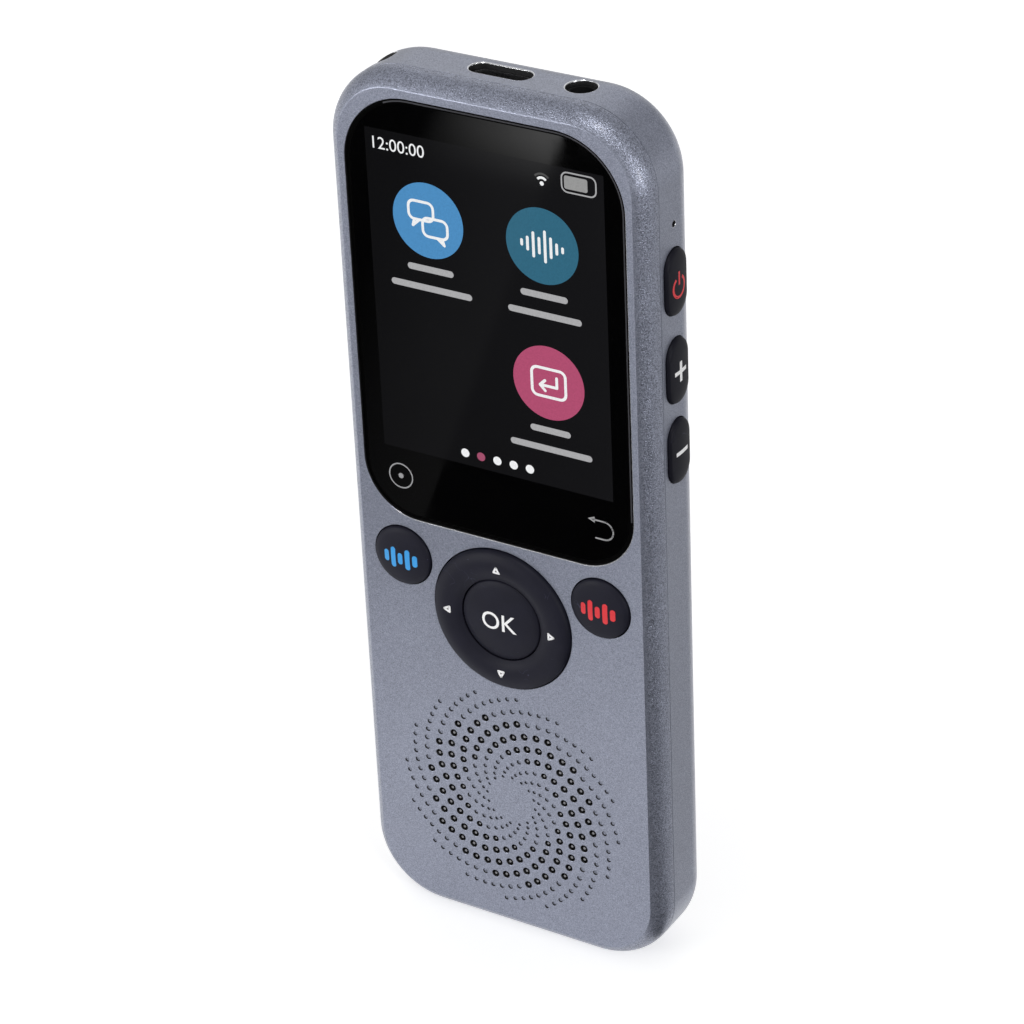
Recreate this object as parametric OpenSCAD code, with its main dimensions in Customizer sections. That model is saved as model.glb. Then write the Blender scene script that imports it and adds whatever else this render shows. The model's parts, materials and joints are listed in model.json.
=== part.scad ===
// Handheld voice translator: two painted shells around a screen, a round keypad, side
// buttons, a speaker behind a spiral of holes, and the electronics that they hold.
// It stands on its lower end. X runs to the right and Z up, both seen from the front,
// and Y from the screen to the back. Millimetres.

/* [Case] */
// Width of the case across its sides
case_w = 51; // [50:0.5:53]
// Height of the case from its lower to its upper end
case_h = 138; // [137.5:0.5:141]
// Thickness of the case from front to back
case_t = 14.4; // [14.2:0.1:16]
// Radius of the four corners seen from the front
corner_r = 11.6; // [11:0.1:12]
// Radius of the arc that rolls from the sides to the front face
front_round = 4; // [3.8:0.1:4.4]
// Radius that rolls from the sides to the back
back_round = 5.3; // [4.5:0.1:5.5]
// Depth of the joint between the two shells, behind the front face
seam_depth = 3.56; // [3.5:0.01:3.6]
// Thickness of the shell walls
wall = 1.8; // [1.7:0.1:1.8]
// Thickness of the front face
face_wall = 1.7; // [1.6:0.05:1.7]
// Thickness of the back
back_wall = 1.6; // [1.4:0.1:1.6]

/* [Screen] */
// Width of the cover glass
glass_w = 44.4; // [44:0.1:44.6]
// Height of the glass's lower edge above the lower end
glass_low = 68.4; // [68.2:0.1:69]
// Height of the glass's upper edge above the lower end
glass_high = 134.5; // [134:0.1:134.6]
// Radius of the glass's upper corners
glass_top_r = 10.7; // [10.4:0.1:11]
// Radius of the glass's lower corners
glass_low_r = 8.6; // [8:0.1:9]

/* [Keypad] */
// Height of the keypad's centre above the lower end
pad_z = 55.4; // [55.2:0.1:55.5]
// Radius of the direction ring
pad_r = 11.4; // [11.2:0.1:11.5]
// Radius of the button in the middle of the ring
ok_r = 6.5; // [6.2:0.1:6.6]
// Radius of the two voice buttons
voice_r = 4.72; // [4.5:0.01:4.8]
// Distance of the voice buttons from the centre line
voice_x = 16.55; // [16.5:0.01:16.7]
// Height of the voice buttons above the lower end
voice_z = 61.8; // [61.7:0.1:62]

/* [Side buttons] */
// Length of the power and volume buttons
side_button_l = 9.9; // [9:0.1:10]
// Width of the power and volume buttons
side_button_w = 5.5; // [5:0.1:5.6]
// Height that the side buttons stand proud of the case
side_button_rise = 0.8; // [0.6:0.05:1]

/* [Speaker holes] */
// Height of the spiral's centre above the lower end
spiral_z = 23.8; // [23.6:0.1:24]
// Number of arms in the spiral
spiral_arms = 16; // [12:1:16]
// Number of holes and dimples along each arm
spiral_steps = 20; // [14:1:20]
// Diameter of the open holes
sound_hole_d = 1.15; // [0.9:0.01:1.2]

/* [Hidden] */
$fn = 96;

// Place of the front face, which sets the part's thickness evenly about Y = 0.
front_y = -6.6;
// Centres of the corners, seen from the front.
corner_x = case_w / 2 - corner_r;
corner_high = case_h - corner_r;
past = 1;

// Shells.
seam_gap = 0.12;
lip_gap = 0.1;
lip_t = 0.8;
lip_depth = 4.6;
lip_inset = wall + lip_gap;
cavity_inset = lip_inset + lip_t;
inner_x = case_w / 2 - wall;
hook_l = 8;
hook_depth = 6.2;
bead_depth = 5.7;
bead_r = 0.35;
hooks = [[-1, 30], [-1, 66], [-1, 100], [1, 30], [1, 66]];

// Screen stack, by depth.
glass_front = 0.25;
glass_back = 1.1;
glass_gap = 0.08;
tape_back = 1.25;
panel_back = 2.9;
backplate_back = 3.2;
panel_w = 39;
panel_h = 54;
panel_z = 103.1;
panel_r = 1.5;
panel_gap = 0.3;
flex_w = 12;
flex_t = 0.15;
flex_low = 70;
flex_high = 77.5;

// Electronics.
board_front = 4;
board_back = 5;
board_w = 45;
board_low = 40.5;
board_high = 135;
board_r = 10;
board_low_r = 4;
screw_spots = [
  [-20.5, 44], [20.5, 44], [-21.3, 73], [21.3, 73], [-21.3, 120.5], [21, 126.5]
];
boss_r = 1.5;
boss_bore_r = 0.55;
screw_r = 0.5;
screw_head_r = 1.2;
screw_head_t = 0.65;
battery_x = -0.5;
battery_z = 87;
battery_w = 36;
battery_h = 50;
battery_front = 6.9;
battery_back = 12.3;

// Keypad stack, by depth.
key_gap = 0.15;
mat_front = 3.15;
mat_back = 3.4;
nub_back = 3.6;
dome_front = 3.67;
rocker_front = 2.25;
rocker_back = 2.55;
rocker_r = 12;
pad_edge = 1.1;
pad_crest_r = 9;
pad_crest = 1.2;
pad_dip = 0.4;
pad_rim = 1;
pad_arrow_r = 8.8;
voice_spots = [[-voice_x, voice_z], [voice_x, voice_z]];
pad_spots = [for (a = [0:90:270]) [pad_arrow_r * cos(a), pad_z + pad_arrow_r * sin(a)]];
key_spots = concat([[0, pad_z]], voice_spots, pad_spots);

// Side buttons, from the lowest up.
side_depth = 7.25;
volume_down_z = 86.1;
volume_up_z = 98.6;
power_z = 112.1;
side_button_zs = [volume_down_z, volume_up_z, power_z];
side_flange = 0.5;
side_flange_x = inner_x - 0.8;
switch_board_x = inner_x - 3.7;
switch_board_t = 0.4;

// Speaker and its spiral of holes. Along an arm, the turn is in degrees and the radius
// grows with the turn in radians.
first_open = 5;
last_open = 12;
dimple_depth = 0.35;
// The face is thinner over the speaker, in a round pocket that holds the mesh.
grille_wall = 0.8;
grille_r = 15.5;
mesh_back = 0.95;
mesh_r = 15.4;
gasket_back = 2.3;
driver_r = 15;
speaker_boss_r = 17.6;
speaker_boss_back = 3.3;
retainer_back = 3.9;

// Sockets in the upper end and the hole for the microphone.
usb_x = -0.68;
usb_depth = 7.3;
audio_x = 11.8;
audio_depth = 7.5;
audio_bore_r = 1.8;
audio_mouth_r = 2.2;
mic_z = 120.6;
mic_depth = 7.5;

// Pocket for a lanyard, cut straight in towards the centre of the upper left corner.
pocket_depth = 7.4;
pocket_angle = 131.5;
pocket_l = 8;
pocket_w = 3.6;
pocket_r = 1.2;
pocket_floor = 7.6;
lanyard_bar_r = 0.7;
lanyard_bar_at = corner_r - 0.85;

// ---- Placing ----

// Puts what is drawn by its depth behind the front face at its place.
module in_case() { translate([0, front_y, 0]) children(); }

// A flat outline, seen from the front, as a plate between two depths.
module plate(from, to) {
  translate([0, to, 0]) rotate([90, 0, 0]) linear_extrude(to - from) children();
}

// A half section turned about an axis into the case. Its height is measured forwards.
module turned(x, z, depth = 0) {
  translate([x, depth, z]) rotate([90, 0, 0]) rotate_extrude() children();
}

// A round bar into the case between two depths.
module rod(x, z, from, to, r) { plate(from, to) translate([x, z]) circle(r = r); }

// ---- Outlines ----

module rounded(w, h, r) {
  square([w - 2 * r, h], center = true);
  square([w, h - 2 * r], center = true);
  for (x = [-1, 1], z = [-1, 1]) translate([x * (w / 2 - r), z * (h / 2 - r)]) circle(r = r);
}

module stadium(l, w) {
  square([l - w, w], center = true);
  for (s = [-1, 1]) translate([s * (l - w) / 2, 0]) circle(d = w);
}

// The glass has larger corners at the top than at the bottom. A grow above 0 widens it.
module glass_outline(grow = 0) {
  half = glass_w / 2 + grow;
  low = glass_low - grow;
  high = glass_high + grow;
  top_r = glass_top_r + grow;
  low_r = glass_low_r + grow;
  translate([-half, low + low_r]) square([2 * half, high - top_r - low - low_r]);
  translate([top_r - half, low + low_r]) square([2 * (half - top_r), high - low - low_r]);
  translate([low_r - half, low]) square([2 * (half - low_r), high - low - top_r]);
  for (s = [-1, 1]) {
    translate([s * (half - top_r), high - top_r]) circle(r = top_r);
    translate([s * (half - low_r), low + low_r]) circle(r = low_r);
  }
}

module panel_outline(grow = 0) {
  translate([0, panel_z]) rounded(panel_w + 2 * grow, panel_h + 2 * grow, panel_r + grow);
}

// What a rounded edge of radius edge_r takes off a section at its outer corner.
module edge_cut(r, rim, edge_r) {
  difference() {
    translate([r - edge_r, rim - edge_r]) square(edge_r + past);
    translate([r - edge_r, rim - edge_r]) circle(r = edge_r);
  }
}

// Half section of a round key: a dome that is top high, and rim less edge_ease high where
// its rounded edge begins.
module key_section(r, bottom, rim, top, edge_r) {
  edge_ease = 0.03;
  crown_r = r - edge_r;
  rise = top - rim + edge_ease;
  dome_r = (crown_r * crown_r + rise * rise) / (2 * rise);
  difference() {
    intersection() {
      translate([0, bottom]) square([r, top + past - bottom]);
      translate([0, top - dome_r]) circle(r = dome_r, $fn = 360);
    }
    edge_cut(r, rim, edge_r);
  }
}

// A half section swept round both ends of a long key and along its straight sides.
module pill(length, width) {
  straight = length - width;
  for (s = [-1, 1])
    translate([s * straight / 2, 0, 0])
      rotate([0, 0, -90 * s])
        rotate_extrude(angle = 180) children();
  translate([-straight / 2, 0, 0]) rotate([90, 0, 90]) linear_extrude(straight) {
    children();
    mirror([1, 0]) children();
  }
}

// ---- The case ----

// Section of the rim: from a corner's centre out to radius r, between two depths, with
// the front and back rolls where their radii are above 0.
module rim_section(r, from, to, front_r, back_r) {
  difference() {
    translate([0, from]) square([r, to - from]);
    if (front_r > 0) difference() {
      translate([r - front_r, from - past]) square([front_r + past, seam_depth - from + past]);
      translate([r - front_r, seam_depth]) circle(r = front_r);
    }
    if (back_r > 0) difference() {
      translate([r - back_r, to - back_r]) square(back_r + past);
      translate([r - back_r, to - back_r]) circle(r = back_r);
    }
  }
}

// A block with the case's outline, inset all round, and the rim section on every side.
module case_block(inset, from, to, front_r = 0, back_r = 0) {
  r = corner_r - inset;
  width = 2 * corner_x;
  height = corner_high - corner_r;
  translate([-corner_x, from, corner_r]) cube([width, to - from, height]);
  for (right = [0, 1], top = [0, 1])
    translate([right ? corner_x : -corner_x, 0, top ? corner_high : corner_r])
      rotate([-90, 0, 0])
        rotate([0, 0, right ? (top ? -90 : 0) : (top ? 180 : 90)])
          rotate_extrude(angle = 90) rim_section(r, from, to, front_r, back_r);
  for (right = [0, 1])
    translate([right ? corner_x : -corner_x, 0, corner_r])
      mirror([1 - right, 0, 0])
        linear_extrude(height) rim_section(r, from, to, front_r, back_r);
  for (top = [0, 1])
    translate([-corner_x, 0, top ? corner_high : corner_r])
      rotate([0, 90, 0])
        linear_extrude(width)
          mirror([top, 0]) rim_section(r, from, to, front_r, back_r);
}

// The whole outer form, kept between two depths.
module outer_form(from, to) {
  intersection() {
    case_block(0, 0, case_t, front_round, back_round);
    translate([-case_w, from, -case_h / 2]) cube([2 * case_w, to - from, 2 * case_h]);
  }
}

// A part ring about the upper left corner's centre, from one angle and radius to another.
module corner_arc(from_angle, to_angle, r0, r1, from, to) {
  translate([-corner_x, to, corner_high])
    rotate([90, 0, 0])
      rotate([0, 0, from_angle])
        rotate_extrude(angle = to_angle - from_angle)
          translate([r0, 0]) square([r1 - r0, to - from]);
}

function arm_turn(step) = 12.2 + 6.97 * step - 7.67 * sin(360 * (step + 4.26) / 21.24);
function arm_radius(turn) = 3.6 + 6.34 * (turn * PI / 180) - 0.054 * pow(turn * PI / 180, 3);
function hole_angle(arm, step) = 360 / spiral_arms * arm - arm_turn(step);
// The outermost open row is open only in the lower left part of the spiral.
function is_open(arm, step) =
  step >= first_open && (step < last_open
    || (step == last_open && abs((hole_angle(arm, step) + 720) % 360 - 255) < 45));
function hole_d(arm, step) =
  is_open(arm, step) ? min(sound_hole_d, sound_hole_d - 0.19 + 0.11 * (step - first_open))
  : step < first_open ? 0.5 + 0.06 * step
  : 0.9 - 0.03 * (step - last_open);

// Cutters for the holes and dimples in the front face.
module sound_holes() {
  for (arm = [0:spiral_arms - 1], step = [0:spiral_steps - 1]) {
    r = arm_radius(arm_turn(step));
    angle = hole_angle(arm, step);
    rod(r * cos(angle), spiral_z + r * sin(angle), -past,
      is_open(arm, step) ? grille_wall + past : dimple_depth, hole_d(arm, step) / 2);
  }
}

module snap_hooks(grow = 0) {
  for (h = hooks)
    translate([h[0] * (case_w / 2 - lip_inset), bead_depth, h[1] - hook_l / 2 - grow])
      cylinder(r = bead_r + grow, h = hook_l + 2 * grow);
}

module front_shell() in_case() color("slategray") difference() {
  union() {
    outer_form(0, seam_depth - seam_gap / 2);
    case_block(lip_inset, past, lip_depth);
    intersection() {
      union() {
        case_block(lip_inset, past, hook_depth);
        snap_hooks();
      }
      for (h = hooks)
        translate([h[0] > 0 ? case_w / 2 - cavity_inset : -case_w / 2, past, h[1] - hook_l / 2])
          cube([cavity_inset, hook_depth, hook_l]);
    }
  }
  difference() {
    case_block(cavity_inset, face_wall, hook_depth + past);
    for (s = screw_spots) rod(s[0], s[1], face_wall - past, board_front, boss_r);
    for (x = [-1, 1], z = [-1, 1])
      rod(x * speaker_boss_r * cos(45), spiral_z + z * speaker_boss_r * sin(45),
        face_wall - past, speaker_boss_back, boss_r);
  }
  for (s = screw_spots) rod(s[0], s[1], 2.4, board_front + past, boss_bore_r);
  for (x = [-1, 1], z = [-1, 1])
    rod(x * speaker_boss_r * cos(45), spiral_z + z * speaker_boss_r * sin(45),
      2, speaker_boss_back + past, boss_bore_r);
  plate(-past, tape_back) glass_outline(glass_gap);
  plate(-past, face_wall + past) panel_outline(panel_gap);
  rod(0, pad_z, -past, face_wall + past, pad_r + key_gap);
  for (s = voice_spots) rod(s[0], s[1], -past, face_wall + past, voice_r + key_gap);
  sound_holes();
  rod(0, spiral_z, grille_wall, face_wall + past, grille_r);
  translate([case_w / 2 - cavity_inset - past, seam_depth - seam_gap / 2, volume_down_z - 7])
    cube([cavity_inset, hook_depth, power_z - volume_down_z + 14]);
}

// A long hole through the upper end, with a bevelled mouth.
module end_slot(x, depth, l, w, bevel) {
  translate([x, depth, case_h]) pill(l, w) polygon([
    [0, -wall - past], [w / 2, -wall - past], [w / 2, -bevel],
    [w / 2 + bevel + past, past], [0, past]
  ]);
}

module side_button_hole(z) {
  translate([inner_x - past, side_depth, z])
    rotate([0, 90, 0])
      linear_extrude(wall + 2 * past)
        stadium(side_button_l + 0.2, side_button_w + 0.2);
}

module lanyard_pocket() {
  translate([-corner_x, pocket_depth, corner_high])
    rotate([0, 90 - pocket_angle, 0])
      translate([0, 0, pocket_floor])
        linear_extrude(corner_r) rounded(pocket_l, pocket_w, pocket_r);
  lanyard_bar_rod(0.04);
}

// The bar reaches a little way into both walls of the pocket.
module lanyard_bar_rod(spare) {
  reach = pocket_w / 2 + 0.33 + spare / 2;
  rod(lanyard_bar_at * cos(pocket_angle) - corner_x,
    lanyard_bar_at * sin(pocket_angle) + corner_high,
    pocket_depth - reach, pocket_depth + reach, lanyard_bar_r + spare);
}

module rear_shell() in_case() color("slategray") difference() {
  union() {
    difference() {
      outer_form(seam_depth + seam_gap / 2, case_t);
      case_block(wall, 0, case_t - back_wall, 0, back_round - wall);
    }
    corner_arc(100, 163, pocket_floor - 1.2, corner_r - past, lip_depth + 0.2, 11.2);
    // Rib that backs the side switches.
    translate([switch_board_x - 1, board_back + 0.2, volume_down_z - 5])
      cube([1, case_t - back_wall - board_back, power_z - volume_down_z + 10]);
    // Ribs below and above the battery.
    for (s = [-1, 1])
      translate([battery_x - battery_w / 2, 9.2, battery_z + s * (battery_h / 2 + 1) - 0.5])
        cube([battery_w, case_t - back_wall - 9, 1]);
  }
  for (z = side_button_zs) side_button_hole(z);
  end_slot(usb_x, usb_depth, 9.65, 3.5, 0.3);
  translate([audio_x, audio_depth, case_h - wall - past])
    cylinder(r = audio_mouth_r, h = wall + 2 * past);
  translate([audio_x, audio_depth, case_h - 0.3])
    cylinder(r1 = audio_mouth_r, r2 = audio_mouth_r + past + 0.3, h = past + 0.3);
  translate([inner_x - past, mic_depth, mic_z])
    rotate([0, 90, 0]) cylinder(d = 1, h = wall + 2 * past);
  lanyard_pocket();
  snap_hooks(0.15);
}

module lanyard_bar() in_case() color("silver") lanyard_bar_rod(0);

// ---- The screen ----

module screen_glass() in_case() color("black") plate(glass_front, glass_back) glass_outline();

module screen_tape() in_case() color("dimgray")
  plate(glass_back, tape_back) difference() {
    glass_outline(-0.2);
    panel_outline(panel_gap);
  }

module display_panel() in_case() color("darkslategray") plate(glass_back, panel_back) panel_outline();

module display_backplate() in_case() color("silver")
  plate(panel_back, backplate_back) difference() {
    panel_outline(-0.1);
    translate([-flex_w / 2 - 0.5, 0]) square([flex_w + 1, flex_high + 0.5]);
  }

module display_flex() in_case() color("darkgoldenrod")
  plate(panel_back, panel_back + flex_t)
    translate([-flex_w / 2, flex_low]) square([flex_w, flex_high - flex_low]);

module display_connector() in_case() color("black")
  plate(panel_back + flex_t, board_front)
    translate([0, flex_low + 1.1]) rounded(flex_w + 1.4, 2.4, 0.3);

// ---- The electronics ----

module board_outline() {
  difference() {
    union() {
      translate([0, (board_low + board_high) / 2])
        square([board_w, board_high - board_low - 2 * board_r], center = true);
      translate([board_r - board_w / 2, board_low + board_low_r])
        square([board_w - 2 * board_r, board_high - board_low - board_low_r]);
      translate([board_low_r - board_w / 2, board_low])
        square([board_w - 2 * board_low_r, board_r]);
      for (s = [-1, 1]) {
        translate([s * (board_w / 2 - board_r), board_high - board_r]) circle(r = board_r);
        translate([s * (board_w / 2 - board_low_r), board_low + board_low_r])
          circle(r = board_low_r);
        translate([s * (board_w / 2 - board_low_r / 2), board_low + board_low_r + board_r / 2])
          square([board_low_r, board_r], center = true);
      }
    }
    translate([-case_w / 2, case_h]) circle(r = 12.4);
    translate([board_w / 2 - 0.7, volume_down_z - 7])
      square([past, power_z - volume_down_z + 14]);
    for (s = screw_spots) translate(s) circle(r = screw_r + 0.25);
  }
}

module main_board() in_case() color("darkgreen") plate(board_front, board_back) board_outline();

// A sheet-metal can over the chips on the back of the board.
module shield_can(x, z, w, h, height) {
  skin = 0.2;
  difference() {
    plate(board_back, board_back + height) translate([x, z]) rounded(w, h, 0.8);
    plate(board_back - past, board_back + height - skin)
      translate([x, z]) rounded(w - 2 * skin, h - 2 * skin, 0.6);
  }
}

module processor_shield() in_case() color("lightsteelblue") shield_can(-7, 95, 24, 22, 1.6);

module radio_shield() in_case() color("lightsteelblue") shield_can(11.5, 74, 13, 14, 1.4);

module antenna_strip() in_case() color("goldenrod")
  plate(case_t - back_wall - 0.12, case_t - back_wall)
    translate([0, 121.5]) rounded(26, 7, 0.6);

module battery_cell() in_case() color("silver")
  plate(battery_front, battery_back)
    translate([battery_x, battery_z]) rounded(battery_w, battery_h - 2.6, 1.2);

module battery_board() in_case() color("darkgreen")
  plate(battery_front + 2, battery_front + 3)
    translate([battery_x, battery_z - battery_h / 2 + 0.65]) square([30, 1.3], center = true);

module battery_pad() in_case() color("gray")
  plate(battery_back, case_t - back_wall)
    translate([battery_x, battery_z]) rounded(battery_w - 6, battery_h - 8, 1);

battery_lead_x = -12;
module battery_lead() in_case() color("darkred")
  for (s = [-1, 1]) translate([battery_lead_x + s * 0.9, 0, 0]) {
    translate([0, battery_front + 1.5, 57.6]) cylinder(d = 1, h = 4.4);
    translate([0, board_back + 1.2, 58.1]) rotate([-90, 0, 0]) cylinder(d = 1, h = 2.2);
  }

module battery_connector() in_case() color("ivory")
  plate(board_back, board_back + 1.2) translate([battery_lead_x, 57.4]) rounded(5, 4, 0.3);

module board_screws() in_case() color("silver")
  for (s = screw_spots) {
    rod(s[0], s[1], 2.6, board_back, screw_r);
    rod(s[0], s[1], board_back, board_back + screw_head_t, screw_head_r);
  }

// ---- The sockets ----

module usb_socket() in_case() color("silver")
  translate([usb_x, usb_depth, case_h - 8.3]) {
    difference() {
      linear_extrude(7.4) stadium(8.94, 3.26);
      translate([0, 0, 0.6]) linear_extrude(7.4) stadium(8.34, 2.66);
    }
    for (s = [-1, 1])
      translate([s * 3 - 0.5, board_back - usb_depth, 0.6])
        cube([1, usb_depth - board_back - 1.6, 2]);
  }

module usb_tongue() in_case() color("black")
  translate([usb_x - 3.35, usb_depth - 0.35, case_h - 7.7]) cube([6.7, 0.7, 5.2]);

module audio_socket() in_case() color("black") difference() {
  union() {
    translate([audio_x - 3, board_back, case_h - 14.5]) cube([6, 5, 12.4]);
    translate([audio_x, audio_depth, case_h - 2.2]) cylinder(r = 2.1, h = 1.4);
  }
  translate([audio_x, audio_depth, case_h - 13.5]) cylinder(r = audio_bore_r, h = 14);
}

module microphone() in_case() color("silver")
  translate([inner_x - 2.6, mic_depth, mic_z]) rotate([0, 90, 0]) cylinder(r = 1.7, h = 1.5);

module microphone_boot() in_case() color("dimgray")
  translate([inner_x - 3.2, mic_depth, mic_z]) rotate([0, 90, 0]) difference() {
    cylinder(r = 2.3, h = 3.1);
    translate([0, 0, 0.6]) cylinder(r = 1.7, h = 1.5);
    translate([0, 0, past]) cylinder(r = 0.6, h = 3);
  }

// ---- The speaker ----

module speaker_mesh() in_case() color("dimgray") rod(0, spiral_z, grille_wall, mesh_back, mesh_r);

module speaker_gasket() in_case() color("black")
  plate(mesh_back, gasket_back) translate([0, spiral_z]) difference() {
    circle(r = mesh_r);
    circle(r = 13.4);
  }

module speaker_frame() in_case() color("gray")
  turned(0, spiral_z) polygon([
    [13.2, -gasket_back], [driver_r, -gasket_back], [driver_r, -3.3], [13.8, -3.3],
    [13.4, -4], [8.6, -5], [8.6, -6.8], [0, -6.8], [0, -4.9], [8.4, -4.7], [13.2, -3.6]
  ]);

module speaker_cone() in_case() color("ivory")
  turned(0, spiral_z) polygon([
    [0, -3], [5, -3.7], [11, -2.7], [12, -2.45], [13.1, -2.7], [13.1, -2.95],
    [12, -2.7], [11, -2.95], [5, -3.95], [0, -3.25]
  ]);

module speaker_retainer() in_case() color("dimgray")
  plate(speaker_boss_back, retainer_back) translate([0, spiral_z]) difference() {
    union() {
      circle(r = 16.4);
      for (x = [-1, 1], z = [-1, 1]) translate([x, z] * speaker_boss_r * cos(45)) circle(r = 2);
    }
    circle(r = 14);
    for (x = [-1, 1], z = [-1, 1])
      translate([x, z] * speaker_boss_r * cos(45)) circle(r = screw_r + 0.2);
  }

module speaker_screws() in_case() color("silver")
  for (x = [-1, 1], z = [-1, 1]) {
    at = [x * speaker_boss_r * cos(45), spiral_z + z * speaker_boss_r * sin(45)];
    rod(at[0], at[1], 2.1, retainer_back, screw_r);
    rod(at[0], at[1], retainer_back, retainer_back + 0.6, screw_head_r);
  }

// ---- The keypad ----

// The ring rises from a rounded outer edge to a crest and dips towards the middle button.
module dpad_cap() in_case() color([0.17, 0.17, 0.2]) turned(0, pad_z) {
  inner = ok_r + key_gap;
  fall = pad_crest - pad_dip;
  run = pad_crest_r - inner;
  arc_r = (run * run + fall * fall) / (2 * fall);
  difference() {
    intersection() {
      translate([inner, -1.9]) square([pad_r - inner, 4]);
      translate([pad_crest_r, pad_crest - arc_r]) circle(r = arc_r, $fn = 360);
    }
    edge_cut(pad_r, pad_rim, pad_edge);
    translate([0, -3]) square([8.3, 1.7]);
  }
}

// Ring that rocks up and down under the cap, which rocks left and right on its two ribs.
module dpad_rocker() in_case() color("dimgray") {
  plate(rocker_front, rocker_back) translate([0, pad_z]) difference() {
    circle(r = rocker_r);
    circle(r = 8.5);
  }
  for (s = [-1, 1])
    plate(1.98, rocker_front) translate([0, pad_z + s * 10]) square([0.8, 1.6], center = true);
}

module ok_button() in_case() color([0.17, 0.17, 0.2]) {
  turned(0, pad_z) key_section(ok_r, -1.8, 0.5, 1.1, 0.5);
  rod(0, pad_z, 1.75, 2.15, 7.6);
  rod(0, pad_z, 2.1, 2.6, 2);
}

module voice_button(x) {
  turned(x, voice_z) key_section(voice_r, -2.1, 0.5, 1, 0.5);
  rod(x, voice_z, 2, 2.4, 5.4);
  rod(x, voice_z, 2.3, 2.7, 1.6);
}

module voice_button_left() in_case() color([0.17, 0.17, 0.2]) voice_button(-voice_x);

module voice_button_right() in_case() color([0.17, 0.17, 0.2]) voice_button(voice_x);

// Rubber sheet behind the keys, with a nub over each dome and two ribs under the rocker.
module keypad_mat() in_case() color("lightgray") {
  plate(mat_front, mat_back) difference() {
    translate([0, pad_z]) rounded(43, 25.4, 3);
    for (s = screw_spots) translate(s) circle(r = boss_r + 0.4);
  }
  for (s = key_spots) rod(s[0], s[1], mat_back - 0.05, nub_back, 1.2);
  for (s = [-1, 1])
    plate(2.62, mat_front) translate([s * 10, pad_z]) square([1.6, 0.8], center = true);
}

// Spring steel domes on the board, one under each key and each direction of the ring.
module key_domes() in_case() color("silver")
  for (s = key_spots) turned(s[0], s[1], board_front) intersection() {
    square([2.4, board_front - dome_front]);
    translate([0, board_front - dome_front - 9]) circle(r = 9, $fn = 360);
  }

// ---- The side buttons ----

module side_button(z) {
  translate([case_w / 2, side_depth, z]) rotate([0, 90, 0]) {
    pill(side_button_l, side_button_w)
      key_section(side_button_w / 2, side_flange_x - case_w / 2,
        side_button_rise - 0.15, side_button_rise, 0.55);
    translate([0, 0, side_flange_x - case_w / 2])
      linear_extrude(side_flange) stadium(side_button_l + 1, side_button_w + 1);
    translate([0, 0, side_flange_x - case_w / 2 - 0.2]) cylinder(r = 1, h = 0.4);
  }
}

module power_button() in_case() color([0.17, 0.17, 0.2]) side_button(power_z);

module volume_up_button() in_case() color([0.17, 0.17, 0.2]) side_button(volume_up_z);

module volume_down_button() in_case() color([0.17, 0.17, 0.2]) side_button(volume_down_z);

module side_switch_board() in_case() color("darkgoldenrod")
  translate([switch_board_x, side_depth - 1.95, volume_down_z - 4])
    cube([switch_board_t, 3.9, power_z - volume_down_z + 8]);

module side_switches() in_case() color("silver")
  for (z = side_button_zs) translate([switch_board_x + switch_board_t, side_depth, z]) {
    translate([0, -1.45, -1.75]) cube([1.3, 2.9, 3.5]);
    rotate([0, 90, 0]) cylinder(r = 0.8, h = 1.75);
  }

front_shell();
rear_shell();
screen_glass();
screen_tape();
display_panel();
display_backplate();
display_flex();
display_connector();
main_board();
processor_shield();
radio_shield();
antenna_strip();
battery_cell();
battery_pad();
battery_board();
battery_lead();
battery_connector();
speaker_mesh();
speaker_gasket();
speaker_frame();
speaker_cone();
speaker_retainer();
speaker_screws();
board_screws();
usb_socket();
usb_tongue();
audio_socket();
microphone();
microphone_boot();
lanyard_bar();
keypad_mat();
key_domes();
side_switches();
side_switch_board();
dpad_cap();
dpad_rocker();
ok_button();
voice_button_left();
voice_button_right();
power_button();
volume_up_button();
volume_down_button();
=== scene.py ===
"""Looks of a handheld translator: painted shells, a lit screen, rubber keys and a grille."""

import json
import math

import bmesh
import bpy
from bpy.props import FloatProperty, FloatVectorProperty, IntProperty, PointerProperty
from mathutils import Matrix, Vector
from mathutils.bvhtree import BVHTree

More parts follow.
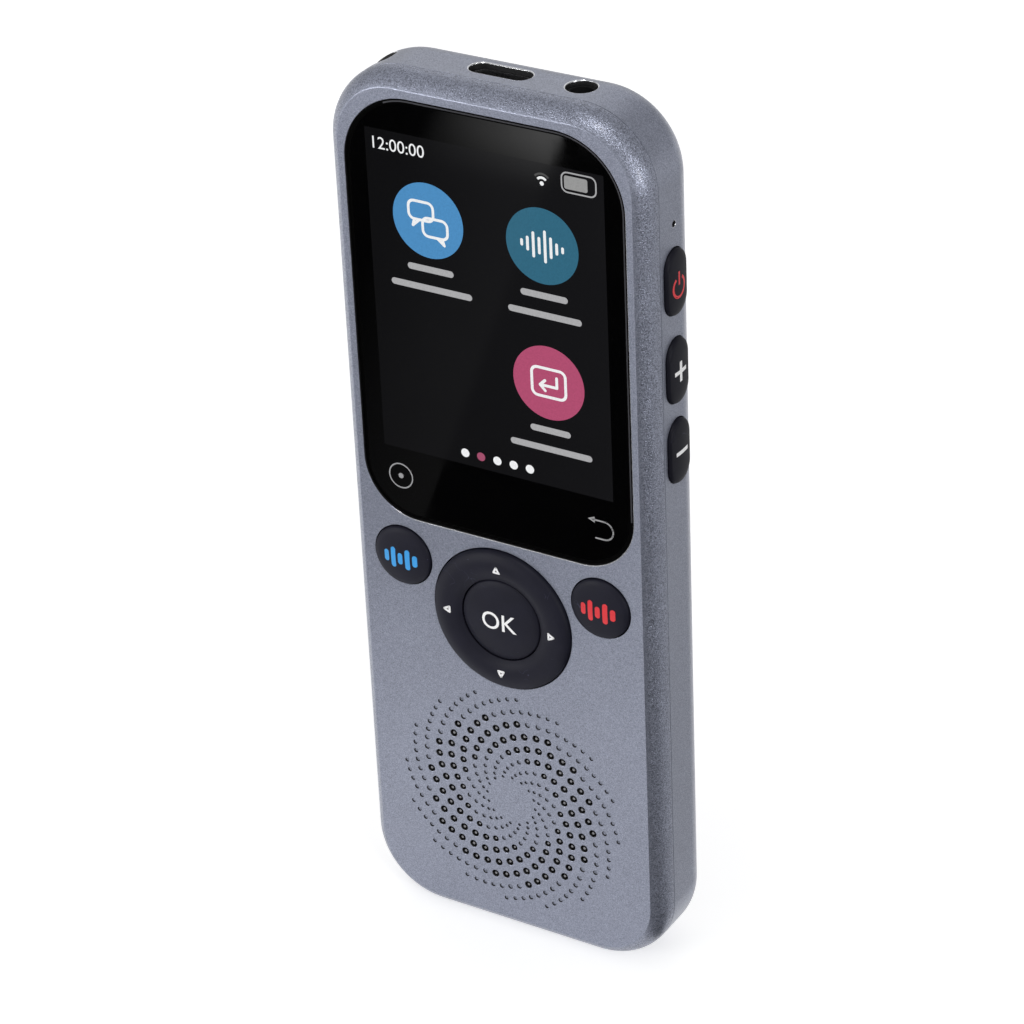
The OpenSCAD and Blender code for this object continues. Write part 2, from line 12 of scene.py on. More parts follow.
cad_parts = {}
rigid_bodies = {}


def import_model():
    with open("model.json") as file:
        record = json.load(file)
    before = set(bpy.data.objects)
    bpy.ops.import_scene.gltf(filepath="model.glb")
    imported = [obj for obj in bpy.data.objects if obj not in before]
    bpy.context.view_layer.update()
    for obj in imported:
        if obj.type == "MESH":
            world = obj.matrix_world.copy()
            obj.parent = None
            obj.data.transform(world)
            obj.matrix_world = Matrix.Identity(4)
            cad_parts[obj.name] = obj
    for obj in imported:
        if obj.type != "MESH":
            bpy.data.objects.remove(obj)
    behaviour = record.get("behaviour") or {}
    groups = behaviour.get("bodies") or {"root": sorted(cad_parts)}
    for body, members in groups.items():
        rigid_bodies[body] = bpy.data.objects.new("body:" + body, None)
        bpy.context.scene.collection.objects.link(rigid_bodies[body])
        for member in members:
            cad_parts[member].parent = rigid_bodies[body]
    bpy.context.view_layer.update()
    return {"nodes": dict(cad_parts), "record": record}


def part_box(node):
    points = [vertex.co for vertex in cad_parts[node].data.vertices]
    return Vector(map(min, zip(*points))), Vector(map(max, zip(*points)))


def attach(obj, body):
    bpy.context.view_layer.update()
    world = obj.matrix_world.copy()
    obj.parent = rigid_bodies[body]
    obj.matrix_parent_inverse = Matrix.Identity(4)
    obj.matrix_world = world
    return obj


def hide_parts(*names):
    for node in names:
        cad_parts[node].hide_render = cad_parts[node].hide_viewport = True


bl_info = {
    "name": "Handheld translator",
    "version": (1, 0, 0),
    "blender": (4, 5, 0),
    "location": "View3D > Sidebar > Translator",
    "description": "Builds the finish of a handheld translator round its solid parts",
    "category": "Object",
}

MM = 0.001
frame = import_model()
NODES = frame["nodes"]


def middle(node):
    """The centre of a node's box."""
    low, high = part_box(node)
    return (low + high) / 2


# The case and what its openings follow, from the frame.
FACE_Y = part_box("front_shell")[0].y
BACK_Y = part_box("rear_shell")[1].y
CASE_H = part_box("rear_shell")[1].z
HALF_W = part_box("rear_shell")[1].x
PAD = middle("dpad_cap")
SPEAKER = middle("speaker_mesh")
MESH_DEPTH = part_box("speaker_mesh")[0].y - FACE_Y
SIDE_KEYS = ("power_button", "volume_up_button", "volume_down_button")
VOICE_KEYS = ("voice_button_left", "voice_button_right")

# Openings in the front face: their radii and depths.
RING_WELL_R = 11.55 * MM
VOICE_WELL_R = 4.87 * MM
WELL_DEPTH = 3 * MM
GLASS_GAP = 0.08 * MM
GLASS_DEPTH = 1.25 * MM
GRILLE_R = 15.5 * MM

# Openings in the side and the upper end. An x is across the case, a d is behind its face.
SIDE_WELL_W, SIDE_WELL_H, SIDE_WELL_D = 5.7 * MM, 10.1 * MM, 7.25 * MM
MIC_R, MIC_D = 0.47 * MM, 7.5 * MM
USB_W, USB_H, USB_X, USB_D = 9.65 * MM, 3.5 * MM, -0.68 * MM, 7.3 * MM
AUDIO_R, AUDIO_X, AUDIO_D = 2.2 * MM, 11.8 * MM, 7.5 * MM
POCKET_HALF, POCKET_FRONT, POCKET_BACK, POCKET_R = 4 * MM, 5.6 * MM, 9.2 * MM, 1.2 * MM
POCKET_WAY = math.radians(131.5)

# The arms of the spiral. An arm turns evenly, in degrees, and sways about that turn.
TURN_START, TURN_STEP = 12.2, 6.97
SWAY, SWAY_STEPS, SWAY_START = 7.67, 21.24, 4.26
# An arm's radius in millimetres, by its turn in radians and by the cube of that.
ARM_START, ARM_GROWTH, ARM_SLOWING = 3.6, 6.34, 0.054
# How much the holes' diameters differ: the first open one from the widest, then hole by hole.
FIRST_SMALLER, OPEN_GROWTH = 0.19 * MM, 0.11 * MM
# The same for the dimples: hole by hole outwards, and inwards with a first difference.
OUTER_LOSS, INNER_LOSS, INNER_SMALLER = 0.03 * MM, 0.06 * MM, 0.1 * MM
# The last hole that can be open is open only this near to this way from the middle.
LAST_OPEN_WAY, LAST_OPEN_SPREAD = math.radians(255), math.radians(45)

# The pale line in the border of the glass, a painted highlight on its upper and right sides: how
# far in it starts and ends, and its low end.
LINE_IN = (0.22 * MM, 0.44 * MM)
LINE_LOW = 90 * MM

PAINT, PRINT_WHITE, KEY_RUBBER = "case_paint", "print_white", "key_rubber"
SKINS = {}


# ---- Properties ----

def length(name, description, default):
    """A length that is given in millimetres and kept in metres."""
    return FloatProperty(name=name, description=description, default=default * MM, min=0,
                         precision=5, unit="LENGTH", subtype="DISTANCE")


def colour(name, description, default):
    return FloatVectorProperty(name=name, description=description, default=default, size=3,
                               min=0, max=1, subtype="COLOR")


def share(name, description, default):
    return FloatProperty(name=name, description=description, default=default, min=0, max=1,
                         subtype="FACTOR")


def strength(name, description, default):
    return FloatProperty(name=name, description=description, default=default, min=0)


class CaseLook(bpy.types.PropertyGroup):
    """Sizes and finish of the two shells."""
    corner: length("Corner radius", "Radius of the corners seen from the front", 11.6)
    front_round: length("Front roll", "Radius of the arc from the sides to the front", 4)
    back_round: length("Back roll", "Radius of the arc from the sides to the back", 5.3)
    seam: length("Seam depth", "Depth of the joint between the shells", 3.56)
    seam_gap: length("Seam gap", "Width of the joint between the shells", 0.03)
    wall: length("Wall", "Thickness of the shells", 1.8)
    face_wall: length("Face", "Thickness of the front face", 1.7)
    crease: length("Crease", "Radius between the front face and the roll", 0.35)
    edge: length("Edge", "Radius on the rims of the openings", 0.12)
    paint: colour("Paint", "Colour of the metallic paint", (0.252, 0.27, 0.34))
    metal: share("Metal", "How metallic the paint is", 0.62)
    flake: length("Flake", "Size of the flakes in the paint", 0.14)
    flake_share: share("Flake contrast", "How strongly the flakes differ", 1)
    grit: length("Grit", "Height of the grain in the paint", 0.055)


class SpiralLook(bpy.types.PropertyGroup):
    """The spiral of sound holes and dimples."""
    arms: IntProperty(name="Arms", description="Arms of the spiral", default=16, min=3)
    steps: IntProperty(name="Steps", description="Holes along one arm", default=20, min=2)
    first_open: IntProperty(name="First open", description="First open hole of an arm", default=5)
    last_open: IntProperty(name="Last open", description="Last hole that can be open", default=12)
    open_d: length("Open hole", "Diameter of an open hole", 1.15)
    dimple_d: length("Dimple", "Diameter of the largest dimple", 0.9)
    wire: length("Wire", "Diameter of the wires behind the holes", 0.07)
    pitch: length("Wire pitch", "Distance from wire to wire", 0.2)


class KeyLook(bpy.types.PropertyGroup):
    """Finish of the keys and of what is printed on them."""
    rubber: colour("Rubber", "Colour of the keys", (0.011, 0.011, 0.02))
    white: colour("White print", "Colour of the plain symbols", (0.96, 0.96, 0.97))
    blue: colour("Left voice key", "Colour of its bars", (0.04, 0.36, 0.83))
    red: colour("Right voice key", "Colour of its bars", (0.76, 0.025, 0.035))
    print_t: length("Print", "Thickness of the print", 0.012)


class ScreenLook(bpy.types.PropertyGroup):
    """The cover glass and the picture on the display."""
    recess: length("Recess", "Depth of the glass below the front face", 0.25)
    low: length("Lower edge", "Height of the glass's lower edge", 68.4)
    high: length("Upper edge", "Height of the glass's upper edge", 134.5)
    half: length("Half width", "Half the width of the glass", 22.2)
    top_r: length("Upper corners", "Radius of the upper corners", 10.7)
    low_r: length("Lower corners", "Radius of the lower corners", 8.6)
    black: colour("Lit black", "Colour of the display where it is dark", (0.0058, 0.0058, 0.0066))
    first: colour("First icon", "Colour of the first round icon", (0.072, 0.262, 0.527))
    second: colour("Second icon", "Colour of the second round icon", (0.03, 0.133, 0.209))
    third: colour("Third icon", "Colour of the third round icon", (0.43, 0.075, 0.16))


class StageLook(bpy.types.PropertyGroup):
    """The floor, the lamps and the view."""
    lens: FloatProperty(name="Lens", description="Focal length", default=130.555, unit="CAMERA")
    sensor: FloatProperty(name="Sensor", description="Sensor width", default=36, unit="CAMERA")
    sky: strength("Sky", "Strength of the even light", 0.5)
    left: strength("Left lamp", "Power in watts", 5.1)
    right: strength("Right lamp", "Power in watts", 3.0)
    back: strength("Back lamp", "Power in watts", 1.6)
    glint: strength("Glints", "Power in watts of each lamp that only gloss shows", 4.4)
    lift: strength("White", "Light that makes the floor white", 0.5)
    band: strength("Band", "Strength of the pale band in the glass", 1.5)
    side_card: strength("Side card", "Strength of the grey card at the right", 0.56)
    floor: colour("Floor", "Colour of the floor", (0.86, 0.86, 0.86))


# ---- Nodes ----

class Value:
    """A number in a node tree. Arithmetic on it adds Math nodes."""

    def __init__(self, nodes, socket):
        self.nodes = nodes
        self.socket = socket

    def math(self, operation, *others):
        return self.nodes.add("ShaderNodeMath", {"operation": operation}, self, *others).value()

    def __add__(self, other): return self.math("ADD", other)
    def __radd__(self, other): return self.math("ADD", other)
    def __sub__(self, other): return self.math("SUBTRACT", other)
    def __rsub__(self, other): return self.nodes.number(other).math("SUBTRACT", self)
    def __mul__(self, other): return self.math("MULTIPLY", other)
    def __rmul__(self, other): return self.math("MULTIPLY", other)
    def __truediv__(self, other): return self.math("DIVIDE", other)
    def __gt__(self, other): return self.math("GREATER_THAN", other)
    def __lt__(self, other): return self.math("LESS_THAN", other)
    def __abs__(self): return self.math("ABSOLUTE")

    def clamped(self):
        return self.nodes.add("ShaderNodeClamp", {}, self).value()

    def between(self, low, high):
        """0 at low, 1 at high and straight between them."""
        return ((self - low) / (high - low)).clamped()


class Step:
    """One node, whose outputs are read as values or as links."""

    def __init__(self, nodes, node):
        self.nodes = nodes
        self.node = node

    def value(self, name=0):
        return Value(self.nodes, self.node.outputs[name])

    def link(self, name=0):
        return self.node.outputs[name]


class Nodes:
    """A node tree that is built with expressions."""

    def __init__(self, group):
        self.group = group

    def add(self, kind, settings=None, *values, **named):
        """A node with its settings, and with the values or links of its sockets."""
        node = self.group.nodes.new(kind)
        for key, setting in (settings or {}).items():
            setattr(node, key, setting)
        for key, value in [*enumerate(values), *named.items()]:
            self.feed(node.inputs[key if isinstance(key, int) else key.replace("_", " ")], value)
        return Step(self, node)

    def feed(self, socket, value):
        """Links a value or a socket, or sets a number, colour or object."""
        if isinstance(value, Value):
            value = value.socket
        if isinstance(value, bpy.types.NodeSocket):
            self.group.links.new(value, socket)
        elif socket.type == "RGBA" and len(value) == 3:
            socket.default_value = (*value, 1)
        else:
            socket.default_value = value

    def number(self, value):
        step = self.add("ShaderNodeValue")
        step.node.outputs[0].default_value = value
        return step.value()


# ---- Materials ----

class Finish(Nodes):
    """A procedural material round one Principled shader."""

    def __init__(self, name, **constants):
        self.material = bpy.data.materials.new(name)
        SKINS[name] = self.material
        self.material.use_nodes = True
        super().__init__(self.material.node_tree)
        self.group.nodes.clear()
        self.shader = self.add("ShaderNodeBsdfPrincipled")
        self.add("ShaderNodeOutputMaterial", {}, self.shader.link())
        self.set(**constants)

    def set(self, **values):
        for key, value in values.items():
            self.feed(self.shader.node.inputs[key.replace("_", " ")], value)

    def place(self):
        """The point on the object, in metres."""
        return self.add("ShaderNodeTexCoord").link("Object")

    def grain(self, size, detail=2.0, roughness=0.5, at=None):
        """Even noise whose lumps are about as large as size, from 0 to 1."""
        return self.add("ShaderNodeTexNoise", {}, Vector=at or self.place(), Scale=1 / size,
                        Detail=detail, Roughness=roughness)

    def cells(self, size):
        """Cells about as large as size, each with a colour of its own."""
        return self.add("ShaderNodeTexVoronoi", {}, Vector=self.place(), Scale=1 / size)

    def mix(self, factor, first, second):
        """A colour between two colours."""
        step = self.add("ShaderNodeMix", {"data_type": "RGBA"})
        for socket, value in ((0, factor), (6, first), (7, second)):
            self.feed(step.node.inputs[socket], value)
        return step.link(2)

    def across(self, axis):
        """The point's distance along X, Y or Z."""
        return self.add("ShaderNodeSeparateXYZ", {}, self.place()).value(axis)

    def bump(self, height, depth, strength):
        normal = self.add("ShaderNodeBump", {}, Height=height, Distance=depth, Strength=strength)
        self.set(Normal=normal.link())


def scaled(shade, factor):
    return tuple(min(1.0, c * factor) for c in shade)


def painted(look):
    """Metallic paint over a blasted surface: flakes of many tilts under a satin coat."""
    f = Finish(PAINT, Metallic=look.metal, Coat_Weight=0.15, Coat_Roughness=0.16)
    flakes = f.cells(look.flake)
    spark = f.add("ShaderNodeSeparateColor", {}, flakes.link("Color"))
    fine = f.grain(look.flake, 1.0, 0.6).value("Fac")
    cloud = f.grain(9 * MM, 2.0).value("Fac")
    depth = f.across("Y") - FACE_Y
    past_seam = depth.between(look.seam - 0.3 * MM, look.seam - 0.05 * MM)
    coarse = depth.between(0.04 * MM, 0.4 * MM) * (1 - past_seam) * 0.5 + 0.5
    contrast = coarse * look.flake_share
    level = ((spark.value("Red") - 0.5) * 0.8 + (fine - 0.5) * 2.4) * contrast
    level = level + (cloud - 0.5) * 0.12 + 0.5
    shade = f.mix(level.clamped(), scaled(look.paint, 0.5), scaled(look.paint, 1.5))
    f.set(Base_Color=shade, Roughness=(spark.value("Green") - 0.5) * 0.16 * coarse + 0.34)
    f.bump((fine - 0.5) * coarse, look.grit, 1.0)
    return f.material


def rubber(name, shade, dust=1.0):
    """Soft-touch rubber with fine grain, specks of dust and a few hair scratches."""
    f = Finish(name, Specular_IOR_Level=0.13)
    fine = f.grain(0.09 * MM, 2.0).value("Fac")
    cloud = f.grain(4 * MM, 3.0).value("Fac")
    speck = f.cells(1.5 * MM)
    pick = f.add("ShaderNodeSeparateColor", {}, speck.link("Color")).value("Red")
    dusty = (speck.value("Distance") < 0.055) * (pick > 0.72)
    hair = f.grain(2.6 * MM, 1.0).value("Fac")
    where = f.grain(6.5 * MM, 1.0, 0.5).value("Fac")
    scratch = (abs(hair - 0.5) < 0.0035) * (where > 0.62)
    marks = ((dusty * 0.7 + scratch * 0.5) * dust).clamped()
    base = f.mix(cloud.between(0.3, 0.7), scaled(shade, 0.9), scaled(shade, 1.12))
    f.set(Base_Color=f.mix(marks, base, scaled(shade, 4.5)),
          Roughness=(fine - 0.5) * 0.12 + cloud * 0.08 + 0.46)
    f.bump(fine + cloud * 0.6, 0.006 * MM, 0.5)
    return f.material


def printed(name, shade, rough=0.45):
    """Ink with the faint unevenness of print."""
    f = Finish(name)
    fine = f.grain(0.12 * MM, 2.0).value("Fac")
    tint = f.mix(fine.between(0.35, 0.65), scaled(shade, 0.9), shade)
    f.set(Base_Color=tint, Roughness=(fine - 0.5) * 0.1 + rough)
    f.bump(fine, 0.003 * MM, 0.3)
    return f.material


def lit(name, shade):
    """A lit spot of the display behind the glass, a little uneven from dot to dot."""
    f = Finish(name, Specular_IOR_Level=0.3, Emission_Strength=1.0)
    dots = f.grain(0.16 * MM, 2.0).value("Fac")
    f.set(Base_Color=(0.004, 0.004, 0.004), Roughness=dots * 0.02 + 0.05,
          Emission_Color=f.mix(dots.between(0.35, 0.65), scaled(shade, 0.9), scaled(shade, 1.06)))
    return f.material


def metal(name, shade, rough=0.3, size=0.25 * MM):
    """Bare metal, finely brushed and unevenly dulled."""
    f = Finish(name, Metallic=1.0)
    place = f.add("ShaderNodeMapping", {}, Vector=f.place(), Scale=(1, 1, 14))
    brush = f.grain(size, 3.0, 0.6, place.link()).value("Fac")
    cloud = f.grain(3 * MM, 2.0).value("Fac")
    f.set(Base_Color=f.mix(cloud, scaled(shade, 0.82), shade),
          Roughness=(brush - 0.5) * 0.18 + rough)
    f.bump(brush, 0.004 * MM, 0.4)
    return f.material


def plastic(name, shade, rough=0.5, grain=0.15 * MM):
    """Moulded plastic with a fine spark-eroded grain."""
    f = Finish(name)
    fine = f.grain(grain, 3.0).value("Fac")
    cloud = f.grain(5 * MM, 2.0).value("Fac")
    f.set(Base_Color=f.mix(cloud, scaled(shade, 0.88), scaled(shade, 1.1)),
          Roughness=(fine - 0.5) * 0.16 + rough)
    f.bump(fine, 0.01 * MM, 0.4)
    return f.material


def black_glass():
    """Cover glass over its black print: dark, smooth, with the faintest wave in it."""
    f = Finish("screen_glass", Specular_IOR_Level=0.5)
    wave = f.grain(14 * MM, 1.0).value("Fac")
    smear = f.grain(5 * MM, 3.0, 0.6).value("Fac")
    f.set(Base_Color=f.mix(wave, (0.0006, 0.0006, 0.0007), (0.0012, 0.0012, 0.0014)),
          Roughness=smear.between(0.35, 0.8) * 0.06 + 0.03)
    f.bump(wave, 0.01 * MM, 0.2)
    return f.material


def lit_black(look):
    """The display's dark area: not quite black, a little uneven, and brighter towards the right as
    a painted reflection.
    """
    f = Finish("display_dark", Specular_IOR_Level=0.3, Emission_Strength=1.0)
    cloud = f.grain(12 * MM, 1.0).value("Fac")
    # Brighter towards the right: a painted reflection in the glass.
    right = f.across("X").between(-20 * MM, 20 * MM)
    level = (cloud * 0.3 + right * 0.7).clamped()
    f.set(Base_Color=(0.002, 0.002, 0.0022), Roughness=cloud * 0.02 + 0.05,
          Emission_Color=f.mix(level, scaled(look.black, 0.45), scaled(look.black, 1.2)))
    return f.material


def board_finish():
    """Green solder mask over copper tracks."""
    f = Finish("circuit_board")
    tracks = f.cells(1.6 * MM)
    edge = tracks.value("Distance") < 0.3
    fine = f.grain(0.3 * MM).value("Fac")
    f.set(Base_Color=f.mix(edge, (0.008, 0.07, 0.03), (0.02, 0.15, 0.06)),
          Roughness=fine * 0.1 + 0.3)
    f.bump(edge, 0.02 * MM, 0.3)
    return f.material


# ---- Meshes ----

def as_object(name, bm, material):
    """A new object at the origin that takes the mesh over."""
    mesh = bpy.data.meshes.new(name)
    bm.to_mesh(mesh)
    bm.free()
    obj = bpy.data.objects.new(name, mesh)
    bpy.context.scene.collection.objects.link(obj)
    if material:
        mesh.materials.append(material)
    return obj


def settled(obj):
    """The object with its modifiers made part of its mesh."""
    graph = bpy.context.evaluated_depsgraph_get()
    mesh = bpy.data.meshes.new_from_object(obj.evaluated_get(graph), depsgraph=graph)
    old = obj.data
    obj.modifiers.clear()
    obj.data = mesh
    mesh.name = obj.name
    bpy.data.meshes.remove(old)
    return obj


def smooth(obj, angle=24):
    """Smooth shading, broken at edges sharper than the angle, and even on flat areas."""
    for face in obj.data.polygons:
        face.use_smooth = True
    obj.data.set_sharp_from_angle(angle=math.radians(angle))
    weigh = obj.modifiers.new("weigh", "WEIGHTED_NORMAL")
    weigh.keep_sharp = True
    weigh.weight = 100
    return settled(obj)


def loft(bm, rings, closed_ends=True):
    """Skins rings of equally many points, and closes both ends."""
    made = [[bm.verts.new(p) for p in ring] for ring in rings]
    for low, high in zip(made, made[1:]):
        count = len(low)
        for i in range(count):
            j = (i + 1) % count
            bm.faces.new((low[i], low[j], high[j], high[i]))
    if closed_ends:
        bm.faces.new(made[0][::-1])
        bm.faces.new(made[-1])


def lofted(name, rings, material=None):
    bm = bmesh.new()
    loft(bm, rings)
    bmesh.ops.recalc_face_normals(bm, faces=bm.faces)
    return as_object(name, bm, material)


def arc(cx, cy, r, start, end, steps):
    """Points on an arc, in degrees, both ends included."""
    turns = [math.radians(start + (end - start) * i / steps) for i in range(steps + 1)]
    return [(cx + r * math.cos(a), cy + r * math.sin(a)) for a in turns]


def box_outline(x0, x1, z0, z1, low_r, top_r=None, steps=16):
    """A rounded rectangle, anticlockwise."""
    top_r = low_r if top_r is None else top_r
    return [
        *arc(x1 - top_r, z1 - top_r, top_r, 0, 90, steps),
        *arc(x0 + top_r, z1 - top_r, top_r, 90, 180, steps),
        *arc(x0 + low_r, z0 + low_r, low_r, 180, 270, steps),
        *arc(x1 - low_r, z0 + low_r, low_r, 270, 360, steps),
    ]


def circle_outline(x, z, r, steps=64):
    return arc(x, z, r, 0, 360, steps)[:-1]


def facing(points, depth):
    """Points of an outline seen from the front, at a depth behind the front face."""
    return [(x, FACE_Y + depth, z) for x, z in points]


def case_ring(look, inset, depth):
    """The outline of the case, inset all round, at a depth."""
    return facing(
        box_outline(-HALF_W + inset, HALF_W - inset, inset, CASE_H - inset,
                    look.corner - inset, steps=24), depth)


def cut(obj, cutters):
    """Takes closed, separate cutters out of an object."""
    bm = bmesh.new()
    for rings in cutters:
        loft(bm, rings)
    bmesh.ops.recalc_face_normals(bm, faces=bm.faces)
    tool = as_object("cutter", bm, None)
    carve = obj.modifiers.new("carve", "BOOLEAN")
    carve.operation = "DIFFERENCE"
    carve.solver = "EXACT"
    carve.object = tool
    settled(obj)
    bpy.data.objects.remove(tool)


def eased(outline, place, edge, deep, start=0.0):
    """Rings of a cutter whose mouth has a rounded edge. outline(grow) gives its points."""
    clear, touching = 0.3 * MM, 0.004 * MM
    rings = [place(outline(edge + clear), start - clear), place(outline(edge), start - touching)]
    for turn in (30, 60):
        a = math.radians(turn)
        rings.append(place(outline(edge * (1 - math.sin(a))), start + edge * (1 - math.cos(a))))
    return rings + [place(outline(0), start + edge), place(outline(0), start + deep)]


def split_skin(obj, materials, part):
    """Gives each face the one of the materials that its centre and normal ask for."""
    obj.data.materials.clear()
    for material in materials:
        obj.data.materials.append(material)
    for face in obj.data.polygons:
        c = face.center
        face.material_index = part(c.x, c.y - FACE_Y, c.z, face.normal)


def inside_outline(look, x, z):
    """How far a point lies inside the case's outline."""
    across = abs(x) - (HALF_W - look.corner)
    up = abs(z - CASE_H / 2) - (CASE_H / 2 - look.corner)
    beyond = math.hypot(max(across, 0), max(up, 0)) + min(max(across, up), 0)
    return look.corner - beyond


def made_of(obj, body, slot, replaced=()):
    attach(obj, body)
    if replaced:
        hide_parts(*replaced)
    return obj


def dressed(node, material, body, slot):
    """A node's own shape with shared points, smooth where it curves."""
    bm = bmesh.new()
    bm.from_mesh(NODES[node].data)
    bmesh.ops.remove_doubles(bm, verts=bm.verts, dist=0.0005 * MM)
    for face in bm.faces:
        face.material_index = 0
    obj = smooth(as_object(node + "_dressed", bm, material))
    return made_of(obj, body, slot, [node])


# ---- Print and lit shapes ----

def bar(x, z, w, h, r=None):
    """A rounded bar about its centre."""
    r = min(w, h) / 2 if r is None else r
    return box_outline(x - w / 2, x + w / 2, z - h / 2, z + h / 2, r, steps=6)


def stroke(points, width, closed=False):
    """Outlines that together draw a line of even width with round ends and corners."""
    shapes = []
    ends = zip(points, points[1:] + points[:1]) if closed else zip(points, points[1:])
    for (x0, z0), (x1, z1) in ends:
        angle = math.degrees(math.atan2(z1 - z0, x1 - x0))
        shapes.append(
            arc(x1, z1, width / 2, angle - 90, angle + 90, 6)
            + arc(x0, z0, width / 2, angle + 90, angle + 270, 6))
    return shapes


def ring_shape(x, z, r, width, start=0, end=360, steps=32):
    """A part ring as one closed band, or a whole one as two halves."""
    if end - start >= 360:
        return (ring_shape(x, z, r, width, start, start + 180, steps)
                + ring_shape(x, z, r, width, start + 180, start + 360, steps))
    outer = arc(x, z, r + width / 2, start, end, steps)
    inner = arc(x, z, r - width / 2, end, start, steps)
    return [outer + inner]


def drawn(shapes, x=0.0, z=0.0):
    """Outlines in millimetres about a point, each as one face of a flat mesh in metres."""
    bm = bmesh.new()
    for points in shapes:
        bm.faces.new([bm.verts.new((x + across * MM, z + up * MM, 0)) for across, up in points])
    return bm


def text_mesh(words, height, x, z, bold=0.0):
    """Digits or letters as a flat mesh, centred on a point."""
    curve = bpy.data.curves.new("words", "FONT")
    curve.body = words
    curve.size = height / 0.73
    curve.offset = bold
    curve.align_x = "CENTER"
    curve.resolution_u = 6
    obj = bpy.data.objects.new("words", curve)
    bpy.context.scene.collection.objects.link(obj)
    graph = bpy.context.evaluated_depsgraph_get()
    mesh = bpy.data.meshes.new_from_object(obj.evaluated_get(graph), depsgraph=graph)
    bm = bmesh.new()
    bm.from_mesh(mesh)
    bpy.data.objects.remove(obj)
    bpy.data.curves.remove(curve)
    bpy.data.meshes.remove(mesh)
    bmesh.ops.remove_doubles(bm, verts=bm.verts, dist=0.0005 * MM)
    across, up = [v.co.x for v in bm.verts], [v.co.y for v in bm.verts]
    centre = Vector((min(across) + max(across), min(up) + max(up), 0)) / 2
    for v in bm.verts:
        v.co += Vector((x, z, 0)) - centre
    return bm


def on_front(flat):
    return Vector((flat.x, FACE_Y - 20 * MM, flat.y)), Vector((0, 1, 0))


def on_side(flat):
    return Vector((HALF_W + 20 * MM, flat.x, flat.y)), Vector((-1, 0, 0))


def laid(name, bm, carrier, material, body, slot, thick, grid, aim=on_front):
    """Lays a flat mesh onto a carrier's surface as a thin closed layer of ink or film.

    The mesh is cut along a grid first, so that it follows a curved surface.
    """
    surface = bmesh.new()
    surface.from_mesh(carrier.data)
    tree = BVHTree.FromBMesh(surface)
    surface.free()
    if grid:
        xs = [v.co.x for v in bm.verts]
        zs = [v.co.y for v in bm.verts]
        for axis, low, high in ((0, min(xs), max(xs)), (1, min(zs), max(zs))):
            for i in range(1, int((high - low) / grid) + 1):
                at, normal = Vector((0, 0, 0)), Vector((0, 0, 0))
                at[axis] = low + i * grid
                normal[axis] = 1
                bmesh.ops.bisect_plane(
                    bm, geom=bm.verts[:] + bm.edges[:] + bm.faces[:], plane_co=at, plane_no=normal)
    top = bm.faces[:]
    pairs = bmesh.ops.duplicate(bm, geom=top)["vert_map"]
    copies = {v: pairs[v] for face in top for v in face.verts}
    spots = {v: v.co.copy() for v in copies}
    edges = dict.fromkeys(e for face in top for e in face.edges)
    for a, b in [e.verts for e in edges if len(e.link_faces) == 1]:
        bm.faces.new((a, b, copies[b], copies[a]))
    for v, flat in spots.items():
        start, ray = aim(flat)
        hit = tree.ray_cast(start, ray)[0]
        if hit is None:
            raise RuntimeError(name + " lies off its carrier")
        v.co = hit - ray * thick
        copies[v].co = hit + ray * thick
    bmesh.ops.recalc_face_normals(bm, faces=bm.faces)
    made_of(smooth(as_object(name, bm, material), 40), body, slot)


# ---- Geometry Nodes ----

class Tree(Nodes):
    """A Geometry Nodes tree with named inputs."""

    def __init__(self, name, inputs):
        super().__init__(bpy.data.node_groups.new(name, "GeometryNodeTree"))
        sockets = self.group.interface
        sockets.new_socket(name="Geometry", in_out="INPUT", socket_type="NodeSocketGeometry")
        self.ids = {}
        for label, (kind, value) in inputs.items():
            socket = sockets.new_socket(name=label, in_out="INPUT", socket_type="NodeSocket" + kind)
            self.ids[socket.identifier] = value
        sockets.new_socket(name="Geometry", in_out="OUTPUT", socket_type="NodeSocketGeometry")
        self.enter = self.group.nodes.new("NodeGroupInput")
        self.leave = self.group.nodes.new("NodeGroupOutput")

    def given(self, label):
        return Value(self, self.enter.outputs[label])

    def joined(self, parts):
        join = self.add("GeometryNodeJoinGeometry")
        for part in parts:
            self.feed(join.node.inputs[0], part)
        return join.link()

    def finish(self, geometry):
        """Realizes the instances, sets the material and ends the tree."""
        real = self.add("GeometryNodeRealizeInstances", {}, geometry)
        skin = self.add("GeometryNodeSetMaterial", {}, real.link(),
                        Material=self.given("Material"))
        self.feed(self.leave.inputs[0], skin.link())

    def use(self, obj):
        """Runs the tree on an object and makes the result its mesh."""
        run = obj.modifiers.new(self.group.name, "NODES")
        run.node_group = self.group
        for identifier, value in self.ids.items():
            run[identifier] = value
        settled(obj)


def spiral_inputs(look, material, **more):
    """The named inputs of every tree that follows the spiral."""
    return {
        "Arms": ("Int", look.arms),
        "Steps": ("Int", look.steps),
        "First open": ("Int", look.first_open),
        "Last open": ("Int", look.last_open),
        "Open diameter": ("Float", look.open_d),
        "Dimple diameter": ("Float", look.dimple_d),
        "Centre height": ("Float", SPEAKER.z),
        "Face": ("Float", FACE_Y),
        **{name.replace("_", " "): ("Object", tool) for name, tool in more.items()},
        "Material": ("Material", material),
    }


